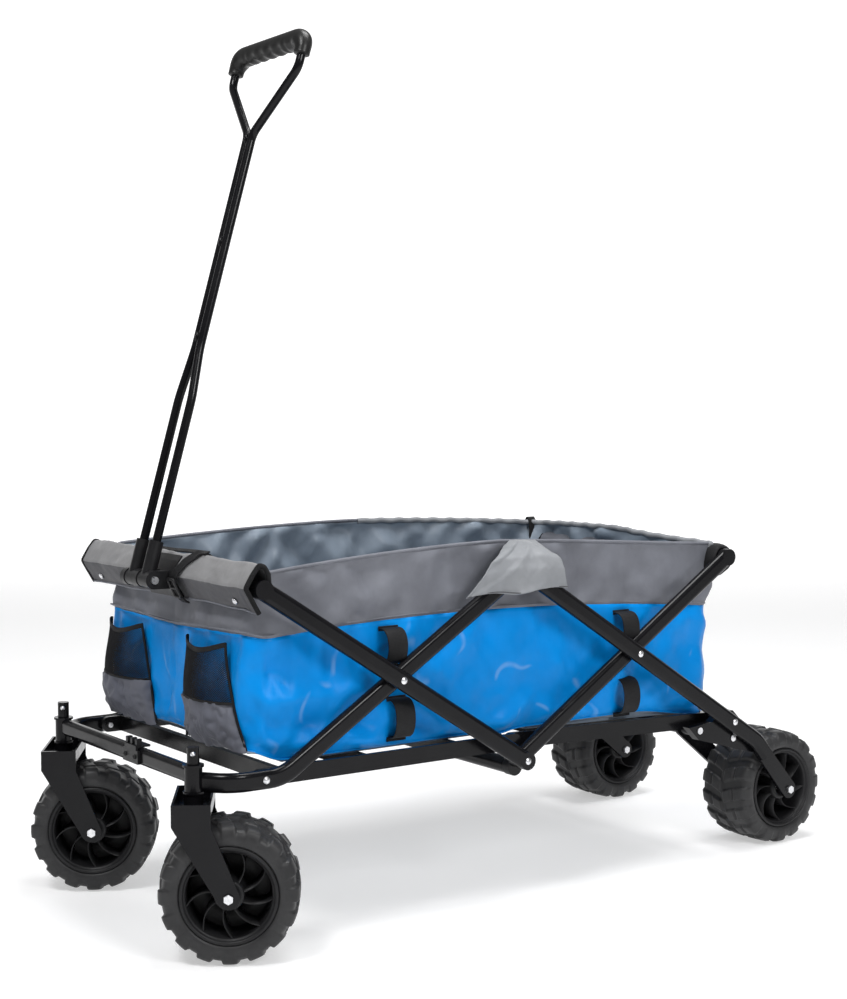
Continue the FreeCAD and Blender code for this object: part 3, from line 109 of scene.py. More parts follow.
class Recipe:
    """One material's node tree."""

    def __init__(self, name, **sockets):
        self.material = bpy.data.materials.new(name)
        self.material.use_nodes = True
        self.tree = self.material.node_tree
        self.shader = self.tree.nodes["Principled BSDF"]
        for socket, number in sockets.items():
            self.shader.inputs[socket.replace("_", " ")].default_value = number

    def node(self, kind, settings=None, **inputs):
        """A new node, with each named input fed by a number or by another node."""
        made = self.tree.nodes.new(f"ShaderNode{kind}")
        for key, setting in (settings or {}).items():
            setattr(made, key, setting)
        for key, source in inputs.items():
            self.feed(made.inputs[key.replace("_", " ")], source)
        return made

    def feed(self, socket, source):
        """Give a socket another node's output, or a plain value."""
        if hasattr(source, "is_output"):
            self.tree.links.new(source, socket)
        else:
            socket.default_value = source

    def maths(self, operation, *sources, clamp=False):
        made = self.node("Math", {"operation": operation, "use_clamp": clamp})
        for socket, source in zip(made.inputs, sources):
            self.feed(socket, source)
        return made.outputs[0]

    def place(self, uv=False, scale=(1, 1, 1)):
        """Coordinates on the object, or on the cloth as it was cut."""
        source = self.node("TexCoord").outputs["UV" if uv else "Object"]
        return self.node("Mapping", Vector=source, Scale=scale).outputs[0]

    def blotches(self, scale, low, high, detail=4.0, where=None, rough=0.55):
        """A number between low and high that wanders over the surface."""
        cloud = self.node(
            "TexNoise", Vector=where or self.place(), Scale=scale, Detail=detail, Roughness=rough
        )
        span = {"From_Min": 0.3, "From_Max": 0.7, "To_Min": low, "To_Max": high}
        return self.node("MapRange", Value=cloud.outputs["Fac"], **span).outputs[0]

    def colour(self, dark, light, share):
        """Base colour from dark, which may be a node's output, to light, by a number from 0 to 1."""
        ramp = self.node("Mix", {"data_type": "RGBA"})
        self.feed(ramp.inputs[0], share)
        self.feed(ramp.inputs[6], dark if hasattr(dark, "is_output") else (*dark, 1))
        self.feed(ramp.inputs[7], (*light, 1))
        self.tree.links.new(ramp.outputs[2], self.shader.inputs["Base Color"])
        return ramp.outputs[2]

    def roughness(self, source):
        self.tree.links.new(source, self.shader.inputs["Roughness"])

    def bump(self, *layers):
        """Stack bumps, each a height, a strength and a distance in metres."""
        normal = None
        for height, strength, distance in layers:
            step = self.node("Bump", Height=height, Strength=strength, Distance=distance)
            if normal is not None:
                self.tree.links.new(normal, step.inputs["Normal"])
            normal = step.outputs[0]
        self.tree.links.new(normal, self.shader.inputs["Normal"])


def weave_height(recipe, pitch):
    """Height of a plain weave whose threads are pitch metres apart on the cloth as it was cut."""
    where = recipe.place(uv=True)
    scale = math.pi / 10 / pitch
    threads = [
        recipe.node("TexWave", {"bands_direction": way}, Vector=where, Scale=scale, Distortion=0.4)
        for way in ("X", "Y")
    ]
    return recipe.maths("MULTIPLY", *(wave.outputs["Fac"] for wave in threads))


def painted_highlight_lines(recipe, where, scale):
    """Thin broken lines along creases, for a painted highlight: 1 on a line and 0 beside it."""
    cloud = recipe.node("TexNoise", Vector=where, Scale=scale, Detail=1.0).outputs["Fac"]
    away = recipe.maths("ABSOLUTE", recipe.maths("SUBTRACT", cloud, 0.5))
    line = recipe.node("MapRange", Value=away, From_Min=0.0, From_Max=0.022, To_Min=1.0, To_Max=0.0)
    shown = recipe.blotches(scale * 3.2, -2.2, 1.4, 1.0)
    return recipe.maths("MULTIPLY", line.outputs[0], shown, clamp=True)


def cloth_finish(
    name, dark, light, rough=(0.5, 0.68), pitch=0.0013, specular=0.2, crease=0.5, thread=0.2, painted_highlight=0.0
):
    """Woven cloth: creased, crumpled and, where painted_highlight is set, paler along thin crease lines as a
    painted highlight.
    """
    recipe = Recipe(name, Specular_IOR_Level=specular)
    cloth = recipe.colour(dark, light, recipe.blotches(14, 0, 1))
    recipe.roughness(recipe.blotches(40, *rough))
    where = recipe.place()
    # painted highlight: pale streaks mixed into the colour along thin crease lines
    if painted_highlight:
        share = recipe.maths("MULTIPLY", painted_highlight_lines(recipe, where, 8.0), painted_highlight)
        recipe.colour(cloth, (0.5, 0.62, 0.75), share)
    ridged = {"noise_type": "RIDGED_MULTIFRACTAL"}
    creases = recipe.node("TexNoise", ridged, Vector=where, Scale=17.0, Detail=2.0, Distortion=0.6)
    crumples = recipe.node("TexNoise", Vector=where, Scale=45.0, Detail=3.0)
    recipe.bump(
        (creases.outputs["Fac"], crease, 0.0095),
        (crumples.outputs["Fac"], 0.3, 0.002),
        (weave_height(recipe, pitch), thread, 0.0003),
    )
    return recipe.material


def painted_finish(name, dark, light, rough=(0.16, 0.26), grain=0.06):
    """Powder coat with a fine orange peel."""
    recipe = Recipe(name, Specular_IOR_Level=0.2)
    recipe.colour(dark, light, recipe.blotches(9, 0, 1))
    recipe.roughness(recipe.blotches(30, *rough))
    peel = recipe.node("TexNoise", Vector=recipe.place(), Scale=900.0, Detail=2.0).outputs["Fac"]
    recipe.bump((peel, grain, 0.0002))
    return recipe.material


def moulded_finish(name, dark, light, rough, grain=0.2, scale=1400.0):
    """Moulded plastic or rubber with a fine grain."""
    recipe = Recipe(name, Specular_IOR_Level=0.25)
    recipe.colour(dark, light, recipe.blotches(22, 0, 1))
    recipe.roughness(recipe.blotches(60, *rough))
    pebbles = recipe.node("TexNoise", Vector=recipe.place(), Scale=scale, Detail=3.0).outputs["Fac"]
    recipe.bump((pebbles, grain, 0.0003))
    return recipe.material


def steel_finish(name, dark, light, rough=(0.22, 0.38)):
    recipe = Recipe(name, Metallic=1.0)
    recipe.colour(dark, light, recipe.blotches(120, 0, 1))
    recipe.roughness(recipe.blotches(200, *rough))
    scratches = recipe.node("TexNoise", Vector=recipe.place(scale=(1, 8, 8)), Scale=500.0).outputs["Fac"]
    recipe.bump((scratches, 0.1, 0.0002))
    return recipe.material


LOOKS = {
    "frame": painted_finish("black_powder_coat", (0.003, 0.003, 0.004), (0.006, 0.006, 0.007)),
    "steel": steel_finish("zinc_plated_steel", (0.6, 0.61, 0.63), (0.85, 0.85, 0.87)),
    "tyre": moulded_finish(
        "tyre_rubber", (0.02, 0.02, 0.021), (0.034, 0.034, 0.035), (0.34, 0.5), grain=0.3, scale=700.0
    ),
    "rim": moulded_finish("wheel_plastic", (0.008, 0.008, 0.009), (0.014, 0.014, 0.015), (0.4, 0.52)),
    "plastic": moulded_finish(
        "black_plastic", (0.008, 0.008, 0.009), (0.013, 0.013, 0.014), (0.3, 0.45), grain=0.1
    ),
    "grip": moulded_finish(
        "grip_plastic", (0.008, 0.008, 0.008), (0.014, 0.014, 0.014), (0.3, 0.42), grain=0.12
    ),
    # The blue's pale crease streaks are a painted highlight.
    "blue": cloth_finish(
        "blue_oxford", (0, 0.205, 0.6), (0, 0.245, 0.7), (0.3, 0.44), specular=0.13, crease=0.45, painted_highlight=0.18
    ),
    "grey": cloth_finish("grey_oxford", (0.125, 0.13, 0.15), (0.185, 0.193, 0.22), (0.42, 0.6)),
    # The sleeve's own grey is set lighter for its lit top, as painted light, and the flap's copy of it is
    # darker, as painted shade.
    "sleeve": cloth_finish(
        "sleeve_grey_painted_light_oxford", (0.19, 0.19, 0.195), (0.25, 0.25, 0.255), (0.36, 0.5), crease=0.25
    ),
    "flap_painted_shade": cloth_finish("sleeve_flap_painted_shade_oxford", (0.07, 0.07, 0.076), (0.1, 0.1, 0.107), crease=0.25),
    "pocket": cloth_finish("pocket_oxford", (0.095, 0.1, 0.125), (0.135, 0.14, 0.165), crease=0.8),
    "flap": cloth_finish("flap_oxford", (0.2, 0.21, 0.225), (0.26, 0.27, 0.285), (0.42, 0.58)),
    "lining": cloth_finish(
        "grey_lining", (0.15, 0.185, 0.23), (0.22, 0.265, 0.32), (0.34, 0.5), specular=0.35, crease=0.8
    ),
    "webbing": cloth_finish(
        "black_webbing", (0.007, 0.007, 0.008), (0.014, 0.014, 0.015), (0.6, 0.8),
        pitch=0.0022, crease=0.1, thread=0.9,
    ),
    "net": moulded_finish("black_net", (0.006, 0.006, 0.008), (0.012, 0.012, 0.014), (0.5, 0.7)),
    "thread": moulded_finish("sewing_thread", (0.03, 0.03, 0.033), (0.06, 0.06, 0.065), (0.6, 0.8)),
}


# ---------------------------------------------------------------- mesh building


def new_object(name, vertices, faces, look=None, uvs=None):
    """A smooth-shaded mesh object from lists of points and of faces."""
    mesh = bpy.data.meshes.new(name)
    mesh.from_pydata([tuple(point) for point in vertices], [], faces)
    mesh.update()
    if uvs is not None:
        layer = mesh.uv_layers.new(name="cut")
        corners = np.array([uvs[loop.vertex_index] for loop in mesh.loops], np.float32)
        layer.data.foreach_set("uv", corners.ravel())
    for polygon in mesh.polygons:
        polygon.use_smooth = True
    made = bpy.data.objects.new(name, mesh)
    bpy.context.scene.collection.objects.link(made)
    if look:
        mesh.materials.append(LOOKS[look])
    return made


def bake(piece):
    """Turn a piece, with its modifiers, into a plain mesh."""
    graph = bpy.context.evaluated_depsgraph_get()
    mesh = bpy.data.meshes.new_from_object(
        piece.evaluated_get(graph), preserve_all_data_layers=True, depsgraph=graph
    )
    if piece.type == "MESH":
        piece.modifiers.clear()
        piece.data = mesh
        return piece
    name = piece.name
    made = bpy.data.objects.new(f"{name}_mesh", mesh)
    made.matrix_world = piece.matrix_world.copy()
    bpy.context.scene.collection.objects.link(made)
    bpy.data.objects.remove(piece)
    made.name = name
    return made


def modify(piece, kind, **settings):
    """Add a modifier with its settings."""
    modifier = piece.modifiers.new(kind.lower(), kind)
    for key, setting in settings.items():
        setattr(modifier, key, setting)
    return modifier


def thicken(piece, thickness, offset=0, **settings):
    """A sheet made solid, half to each side of itself at offset 0 and all to the inside at -1."""
    modify(piece, "SOLIDIFY", thickness=thickness, offset=offset, **settings)
    return bake(piece)


def edit_mesh(piece, change):
    """Let change(mesh) work on a piece's points, edges and faces."""
    mesh = bmesh.new()
    mesh.from_mesh(piece.data)
    change(mesh)
    mesh.to_mesh(piece.data)
    mesh.free()


def join(name, members):
    """One mesh object out of several, with their materials kept."""
    looks, vertices, faces, slots, rounds, cut = [], [], [], [], [], []
    for member in members:
        mesh = member.data
        start = len(vertices)
        vertices.extend(member.matrix_world @ vertex.co for vertex in mesh.vertices)
        layer = mesh.uv_layers.active
        for polygon in mesh.polygons:
            faces.append([start + index for index in polygon.vertices])
            look = mesh.materials[polygon.material_index] if mesh.materials else None
            if look not in looks:
                looks.append(look)
            slots.append(looks.index(look))
            rounds.append(polygon.use_smooth)
            for loop in polygon.loop_indices:
                cut.append(layer.data[loop].uv[:] if layer else (0.0, 0.0))
        bpy.data.objects.remove(member)
    whole = new_object(name, vertices, faces)
    for look in looks:
        whole.data.materials.append(look)
    whole.data.polygons.foreach_set("material_index", slots)
    whole.data.polygons.foreach_set("use_smooth", rounds)
    layer = whole.data.uv_layers.new(name="cut")
    layer.data.foreach_set("uv", np.array(cut, np.float32).ravel())
    return whole


def grid(name, columns, rows, point, look, closed=False, size=(1.0, 1.0)):
    """A sheet of faces: point(u, v) gives each corner, with u and v from 0 to 1."""
    span = columns if closed else columns + 1
    vertices, uvs = [], []
    for row in range(rows + 1):
        for column in range(span):
            u, v = column / columns, row / rows
            vertices.append(point(u, v))
            uvs.append((u * size[0], v * size[1]))
    faces = []
    for row in range(rows):
        for column in range(columns):
            after = (column + 1) % span
            low, high = row * span, (row + 1) * span
            faces.append((low + column, low + after, high + after, high + column))
    return new_object(name, vertices, faces, look, uvs)


def swept(name, points, radius, look, smooth_path=True, sides=12, closed=False):
    """A round tube along points."""
    curve = bpy.data.curves.new(name, "CURVE")
    curve.dimensions = "3D"
    curve.bevel_depth = radius
    curve.bevel_resolution = max(1, sides // 4 - 1)
    curve.resolution_u = 8
    curve.use_fill_caps = True
    spline = curve.splines.new("NURBS" if smooth_path else "POLY")
    spline.points.add(len(points) - 1)
    for target, point in zip(spline.points, points):
        target.co = (*point, 1)
    if smooth_path:
        spline.order_u = 3
        spline.use_endpoint_u = not closed
    spline.use_cyclic_u = closed
    made = bpy.data.objects.new(name, curve)
    bpy.context.scene.collection.objects.link(made)
    curve.materials.append(LOOKS[look])
    return bake(made)


def ribbon(name, path, across, width, thickness, look, samples=40):
    """A flat strip of webbing whose middle follows path(t); across(t) is the way of its width."""
    length = sum((path((i + 1) / samples) - path(i / samples)).length for i in range(samples))

    def point(u, v):
        return path(u) + across(u) * ((v - 0.5) * width)

    strip = grid(name, samples, 4, point, look, size=(length, width))
    modify(strip, "SOLIDIFY", thickness=thickness, offset=0)
    modify(strip, "BEVEL", width=thickness * 0.3, segments=2, limit_method="ANGLE")
    return bake(strip)


def turned(name, profile, axis_point, direction, look, steps):
    """A solid of revolution: profile is pairs of (distance along the axis, radius)."""
    direction = Vector(direction).normalized()
    side = direction.orthogonal().normalized()
    other = direction.cross(side)

    def point(u, v):
        spot = profile[round(v * (len(profile) - 1))]
        angle = u * math.tau
        ring = side * math.cos(angle) + other * math.sin(angle)
        return axis_point + direction * spot[0] + ring * spot[1]

    return grid(name, steps, len(profile) - 1, point, look, closed=True, size=(0.1, 0.1))


def facets(x, y, spacing, seed):
    """Flat patches between sharp creases: overlapping zigzags, each bent and faded by slow noise."""
    total = 0.0
    for step, angle in enumerate((0.62, -0.85, 1.35, -0.12)):
        bend = noise.noise(Vector((x / 160, y / 160, seed + step))) * 0.9
        run = (x * math.cos(angle) + y * math.sin(angle)) / (spacing * (1 + 0.37 * step)) + bend
        fade = smooth(-0.15, 0.35, noise.noise(Vector((x / 110, y / 110, seed * 1.7 + 3 * step))))
        total += (abs(run % 2.0 - 1.0) - 0.5) * (0.25 + 0.75 * fade)
    return total


def ride(piece, body, replaced=()):
    """Fix a piece to a body, and hide the CAD nodes that it stands in for."""
    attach(piece, body)
    if replaced:
        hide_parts(*replaced)
    return piece


# Folded, the basket keeps this share of its length, which fits between the folded rails; the script does not
# fold the basket.
FOLD = {"joint": "front_fold", "axis": (0, 1, 0), "anchor": tuple(at(0, 0, 0)), "keep": 0.285}


def soft(piece, replaced=()):
    """A piece of the basket, which on the real cart closes up like a concertina as the frame folds; here it
    is only fixed to the basket's body, with the CAD nodes it stands in for hidden, and given its own copy of
    its mesh.
    """
    ride(piece, "basket", replaced)
    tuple(FOLD["axis"])
    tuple(FOLD["anchor"])
    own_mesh(piece)
    return piece


# ---------------------------------------------------------------- basket

HALF = 226.0
FRONT, REAR = -445.0, 421.0
CORNER = 26.0


def near_rim(y):
    """Height of the basket's left rim: highest by the middle joints, lower to the corners."""
    if y < -10:
        return 539 - 29 * (abs(y + 10) / 440) ** 1.7
    return 539 - 27 * ((y + 10) / 450) ** 1.2


def far_rim(y):
    """The same on the right, which stands a little higher."""
    return 545 - 19 * (abs(y) / 430) ** 1.6


def outline(u):
    """Point and outward normal on the basket's plan, from the front middle round the left side."""
    straight_x, straight_y = HALF - CORNER, REAR - FRONT - 2 * CORNER
    arc = CORNER * math.pi / 2
    total = 4 * straight_x + 2 * straight_y + 4 * arc
    run = (u % 1.0) * total
    middle_y = (FRONT + REAR) / 2
    reach_y = (REAR - FRONT) / 2 - CORNER
    pieces = [
        (straight_x, (0, -1), (0, FRONT), (1, 0)),
        (arc, None, (straight_x, middle_y - reach_y), -90),
        (straight_y, (1, 0), (HALF, middle_y - reach_y), (0, 1)),
        (arc, None, (straight_x, middle_y + reach_y), 0),
        (2 * straight_x, (0, 1), (straight_x, REAR), (-1, 0)),
        (arc, None, (-straight_x, middle_y + reach_y), 90),
        (straight_y, (-1, 0), (-HALF, middle_y + reach_y), (0, -1)),
        (arc, None, (-straight_x, middle_y - reach_y), 180),
        (straight_x, (0, -1), (-straight_x, FRONT), (1, 0)),
    ]
    for length, normal, start, way in pieces:
        if run <= length:
            if normal is None:
                angle = math.radians(way + 90 * run / length)
                normal = (math.cos(angle), math.sin(angle))
                return start[0] + CORNER * normal[0], start[1] + CORNER * normal[1], normal
            return start[0] + way[0] * run, start[1] + way[1] * run, normal
        run -= length
    return 0.0, FRONT, (0, -1)


PERIMETER = (4 * (HALF - CORNER) + 2 * (REAR - FRONT - 2 * CORNER) + 2 * math.pi * CORNER) * MM


def on_front(y):
    """1 on the front wall, falling to 0 round its corners."""
    return 1 - smooth(FRONT, FRONT + CORNER, y)


def rim_height(x, y):
    side = (x / HALF + 1) / 2
    return mix(far_rim(y), near_rim(y), smooth(0, 1, side)) + 9 * smooth(330, 400, y) * (1 - abs(x) / HALF)


def floor_height(x, y):
    front = 26 * (1 - smooth(FRONT, -390, y)) * (1 - 0.35 * abs(x) / HALF)
    rear = -17 * smooth(250, 400, y)
    sag = -6 * math.exp(-(((y + 15) / 22) ** 2))
    return 250 + front + rear + sag


def seam_height(x, y):
    """Where the grey band is sewn to the blue."""
    if y > -80:
        side = 441 - 25 * ((y + 80) / 486) ** 2
    else:
        side = 441 - 14 * ((-80 - y) / 331) ** 2
    front = 427 + 6 * abs(x) / HALF
    return mix(side, front, on_front(y))


BODY_ROWS, ROWS, COLUMNS = 28, 46, 400
SEAM = BODY_ROWS / ROWS


def wall_point(u, v):
    """The basket's wall, v from 0 at its lower edge through SEAM, where the band starts, to 1."""
    x, y, normal = outline(u)
    low, seam, high = floor_height(x, y), seam_height(x, y), rim_height(x, y)
    if v < SEAM:
        z = mix(low, seam, v / SEAM)
    else:
        z = mix(seam, high, (v - SEAM) / (1 - SEAM))
    belly = 4 * math.sin(math.pi * min(v / SEAM, 1.0))
    lean = -2 * (1 - smooth(0, 0.35, v))
    tuck = -15 * smooth(446, 474, z) * on_front(y)
    push = belly * (1 - on_front(y) * 0.6) + lean + tuck
    # towards the rear rail the wall reaches back as it rises, and its rim wraps the rail
    flare = 19 * smooth(390, 492, z) * smooth(300, REAR, y) * smooth(60, 215, x)
    return at(x + normal[0] * push, y + normal[1] * push + flare, z)


def simulate(piece, pinned, frames=24, swell=0.03, cap=0.009):
    """Let a sheet a little too large hang as cloth from its pinned points, within cap of its place."""
    start = np.array([vertex.co[:] for vertex in piece.data.vertices])
    group = piece.vertex_groups.new(name="held")
    for index, weight in pinned:
        group.add([index], weight, "REPLACE")
    cloth = modify(piece, "CLOTH")
    settings = cloth.settings
    settings.quality = 6
    settings.mass = 0.25
    settings.tension_stiffness = 22
    settings.compression_stiffness = 14
    settings.shear_stiffness = 7
    settings.bending_stiffness = 0.35
    settings.vertex_group_mass = "held"
    settings.shrink_min = settings.shrink_max = -swell
    cloth.point_cache.frame_start = 1
    cloth.point_cache.frame_end = frames
    scene = bpy.context.scene
    for number in range(1, frames + 1):
        scene.frame_set(number)
    bake(piece)
    scene.frame_set(1)
    moved = np.array([vertex.co[:] for vertex in piece.data.vertices]) - start
    reach = np.linalg.norm(moved, axis=1, keepdims=True)
    limited = start + moved * np.minimum(1.0, cap * np.tanh(reach / cap) / np.maximum(reach, 1e-9))
    piece.data.vertices.foreach_set("co", limited.astype(np.float32).ravel())
    piece.data.update()


def lay_folds(shell):
    """Long slanting creases where the cloth is pulled between the joints, over the way it hangs."""
    for number, vertex in enumerate(shell.data.vertices):
        row, column = divmod(number, COLUMNS)
        u, v = column / COLUMNS, row / ROWS
        x, y, normal = outline(u)
        hold = smooth(0, 0.1, v) * (1 - smooth(0.95, 1.0, v))
        hold *= 1 - 0.6 * math.exp(-(((v - SEAM) / 0.04) ** 2))
        run = u * PERIMETER / MM
        z = vertex.co.z / MM
        if v > SEAM:
            folds = 9.0 * facets(run, z, 27, 3.1)
            folds *= 1.6 if x < 0 else 1.0
        else:
            by_corner = 1.1 * math.exp(-(((y + 390) / 120) ** 2))
            by_floor = 0.6 * (1 - smooth(0.1, 0.3, v))
            folds = 6.0 * facets(run, z, 29, 9.1) + 1.6 * facets(run, z, 14, 2.6)
            folds *= 1 + by_corner + by_floor
        if y < FRONT + 30:  # the pockets lie on the front
            folds *= 0.35
        push = folds * hold * MM
        vertex.co += Vector((normal[0] * push, normal[1] * push, 0))
    shell.data.update()


def basket_wall():
    """The whole wall as one thin sheet, hung from its rim and creased."""
    shell = grid("basket_wall", COLUMNS, ROWS, wall_point, "blue", closed=True, size=(PERIMETER, 0.28))
    pins = []
    for row, weight in ((0, 1.0), (1, 0.4), (BODY_ROWS, 0.25), (ROWS - 1, 0.6), (ROWS, 1.0)):
        pins.extend((row * COLUMNS + column, weight) for column in range(COLUMNS))
    simulate(shell, pins)
    modify(shell, "SMOOTH", factor=0.5, iterations=8)
    lay_folds(bake(shell))
    return shell


def wall_piece(name, shell, rows, look):
    """Some rows of the wall, given thickness and lined on the inside."""
    part = bpy.data.objects.new(name, shell.data.copy())
    bpy.context.scene.collection.objects.link(part)

    def cut(mesh):
        doomed = [face for face in mesh.faces if face.index // COLUMNS not in rows]
        bmesh.ops.delete(mesh, geom=doomed, context="FACES")

    edit_mesh(part, cut)
    part.data.materials.clear()
    for cloth in (look, "lining"):
        part.data.materials.append(LOOKS[cloth])
    return thicken(part, 0.0022, offset=-1, material_offset=1, material_offset_rim=0)


def rim_line(u, lift=0.0, out=0.0):
    """A point by the rim, lifted and moved out by so many millimetres."""
    normal = outline(u)[2]
    return wall_point(u, 1.0) + Vector((normal[0] * out, normal[1] * out, lift)) * MM


def basket_trim():
    """The hems along the rim, the seams, the floor's front lip and the strip over its hinge."""
    rim = [rim_line(i / 220, -1.0, -1.2) for i in range(220)]
    soft(swept("basket_hem", rim, 0.0026, "grey", closed=True))
    roll = []
    for i in range(440):
        x, y, _ = outline(i / 440)
        if y > 396 or (x < 0 and y > 20):
            roll.append(rim_line(i / 440, -2.5 + 0.8 * math.sin(i), -2.0 + math.sin(i * 0.7)))
    soft(swept("basket_rear_hem", roll, 0.0046, "flap"))
    for name, v, out, look in (("basket_seam", SEAM, 1.6, "grey"), ("basket_lower_hem", 0.012, 0.8, "blue")):
        points = []
        for i in range(220):
            normal = outline(i / 220)[2]
            points.append(wall_point(i / 220, v) + Vector((*normal, 0)) * (out * MM))
        soft(swept(name, points, 0.0013, look, closed=True))

    def strip(u, v):
        return at(mix(-224, 224, u), mix(-36, 36, v), 252.5 + 2.5 * math.sin(math.pi * v))

    def lip(u, v):
        y = mix(FRONT + 2, -382, v)
        x = mix(-222, 222, u)
        return at(x, y, mix(floor_height(x, FRONT) + 1, 255, smooth(0, 1, v)))

    for name, columns, rows, point, depth in (
        ("basket_front_floor", 60, 10, lip, 0.06),
        ("floor_hinge_strip", 40, 8, strip, 0.07),
    ):
        cover = grid(name, columns, rows, point, "lining", size=(0.45, depth))
        soft(thicken(cover, 0.002))


wall = basket_wall()
soft(wall_piece("basket_band", wall, range(BODY_ROWS, ROWS), "grey"))
soft(wall_piece("basket_body", wall, range(BODY_ROWS), "blue"), ("basket_fabric",))
bpy.data.objects.remove(wall)
basket_trim()


# ---------------------------------------------------------------- soft parts on the frame


def by(x, y, z):
    """A move in metres from millimetres."""
    return Vector((x, y, z)) * MM


def crumple(piece, amount, scale, seed):
    """Move a sheet's points along their normals by folded noise, in millimetres."""
    mesh = piece.data
    normals = [vertex.normal.copy() for vertex in mesh.vertices]
    for vertex, normal in zip(mesh.vertices, normals):
        spot = vertex.co / (scale * MM) + Vector((seed, seed * 1.7, -seed))
        value = noise.noise(spot) * 1.3 + (abs(noise.noise(spot * 1.9)) - 0.25) * 1.2
        vertex.co += normal * (value * amount * MM)
    mesh.update()


def along_path(points, share):
    """A point on a run of straight lines, by share of its length."""
    lengths = [math.dist(a, b) for a, b in zip(points, points[1:])]
    run = share * sum(lengths)
    for start, end, length in zip(points, points[1:], lengths):
        if run <= length or end is points[-1]:
            return [mix(a, b, run / length) for a, b in zip(start, end)]
        run -= length
    return list(points[-1])


def rounded(points, share, window):
    """The same, with its corners eased."""
    total = [0.0] * len(points[0])
    for step in (-1, -0.5, 0, 0.5, 1):
        spot = along_path(points, min(max(share + step * window, 0.0), 1.0))
        total = [a + b for a, b in zip(total, spot)]
    return [number / 5 for number in total]


# The front sleeve's section, back and up, from its rear edge over the rail to the flap's edge.
SLEEVE = [
    (-431.5, 500), (-433, 517), (-439, 526.5), (-447, 529),
    (-457, 516.5), (-467.5, 499), (-456.5, 480), (-447, 464),
]


def front_sleeve():
    """Padded cloth over the front rail: a sloping top, a ridge and a flap, with two snaps; the flap takes a
    darker copy of the cloth as painted shade.
    """
    half = 259.5
    columns, painted_shade_row = 130, 39

    def point(u, v):
        x = mix(-half, 272.0, u)
        y, z = rounded(SLEEVE, v, 0.014)
        y -= 6 * smooth(225, 272, x)
        slump = noise.noise(Vector((x / 55, v * 3, 2.2)))
        middle = 1 - smooth(half - 40, half, abs(x))
        low = smooth(0.72, 1.0, v)
        y += 1.6 * slump * middle
        z += (2.4 * noise.noise(Vector((x / 80, 5.0, 1.0))) + 1.5) * low * middle
        z += 1.5 * noise.noise(Vector((x / 70, v * 2, 9.0))) * (1 - low)
        return at(x, y, z)

    sleeve = grid("front_sleeve", columns, 60, point, "sleeve", size=(0.5, 0.14))
    crumple(sleeve, 1.0, 30, 4.0)
    modify(sleeve, "SOLIDIFY", thickness=0.003, offset=0)
    modify(sleeve, "BEVEL", width=0.001, segments=2, limit_method="ANGLE")
    # painted shade: the flap's rows take the darker copy of the sleeve cloth
    sleeve.data.materials.append(LOOKS["flap_painted_shade"])
    for polygon in sleeve.data.polygons:
        polygon.material_index = 1 if polygon.index // columns >= painted_shade_row else 0
    bake(sleeve)
    ride(sleeve, "front_top_frame", ("front_rail_sleeve",))
    hem = [point(i / 60, 0.985) + by(0, -1.8, -0.6) for i in range(61)]
    ride(swept("sleeve_hem", hem, 0.0016, "grey", sides=8), "front_top_frame")
    button = [
        (0, 0.0001), (0, 0.005), (0.001, 0.005), (0.002, 0.004),
        (0.002, 0.0026), (0.0012, 0.002), (0.0012, 0.0001),
    ]
    for number, x in enumerate((215, -215)):
        spot, outward = at(x, -457.2, 476.4), (0, -0.86, -0.51)
        snap = turned(f"sleeve_snap_{number}", button, spot, outward, "steel", 32)
        ride(snap, "front_top_frame")
    for name, side in SIDES.items():
        edge = [point(0.5 + side * 0.5, i / 40) + by(side * 1.5, 0, 0) for i in range(41)]
        binding = swept(f"sleeve_binding_{name}", edge, 0.0036, "webbing")
        ride(binding, "front_top_frame")


def rear_sleeve():
    """Cloth rolled round the rear rail, with a black binding at each end."""
    centre = middle_of("rear_top_rail")
    reach = 222.0

    def point(u, v):
        x = mix(-reach, reach, v)
        angle = u * math.tau
        radius = 14.6 + 0.9 * noise.noise(Vector((x / 24, math.cos(angle) * 1.4, math.sin(angle) * 1.4)))
        tail = 3.0 * max(0.0, math.cos(angle - math.pi)) ** 3
        away = Vector((0, math.cos(angle), math.sin(angle))) * ((radius + tail) * MM)
        return Vector((MID.x + x * MM, centre.y, centre.z)) + away

    wrap = grid("rear_sleeve", 36, 90, point, "grey", closed=True, size=(0.1, 0.46))
    ride(thicken(wrap, 0.0015, offset=-1), "rear_top_frame", ("rear_rail_sleeve",))
    for name, side in SIDES.items():
        def cuff(u, v, side=side):
            angle = u * math.tau
            run = mix(206, 246, v)
            bulge = math.sin(math.pi * min(max((v - 0.02) / 0.96, 0), 1)) ** 0.4
            radius = 15.2 + 11 * bulge + 1.3 * math.sin(angle * 5 + v * 5) * bulge
            shift = Vector((0, 5, -6)) * (bulge * MM)
            away = Vector((0, math.cos(angle), math.sin(angle))) * (radius * MM) + shift
            return Vector((MID.x + side * run * MM, centre.y, centre.z)) + away

        band = grid(f"rear_binding_{name}", 40, 14, cuff, "webbing", closed=True, size=(0.1, 0.025))
        ride(thicken(band, 0.0018, offset=-1), "rear_top_frame")


def corner_strap():
    """Webbing that ties the rim to the rear rail at the far corner."""
    route = [(-231, 404, 499), (-230, 404, 528), (-225, 404, 536), (-218.5, 404, 528), (-217, 404, 492)]

    def path(t):
        return at(*rounded(route, t, 0.04))

    strap = ribbon("corner_strap", path, lambda t: Vector((0, 1, 0)), 0.016, 0.0022, "webbing")
    soft(strap)


def pleat(flap, columns, rows, side):
    """Folds that fan out from the flap's upper edge, and that never press in to the joint behind."""
    for number, vertex in enumerate(flap.data.vertices):
        row, column = divmod(number, columns + 1)
        u, v = column / columns, row / rows
        fan = (u - 0.62) / (0.55 + v)
        fold = facets(fan * 190, v * 90, 30, 4.0 + side)
        vertex.co += Vector((side * 0.8, 0, 0.6)) * (7.0 * max(fold, -0.1) * smooth(0.0, 0.3, v) * MM)
    flap.data.update()


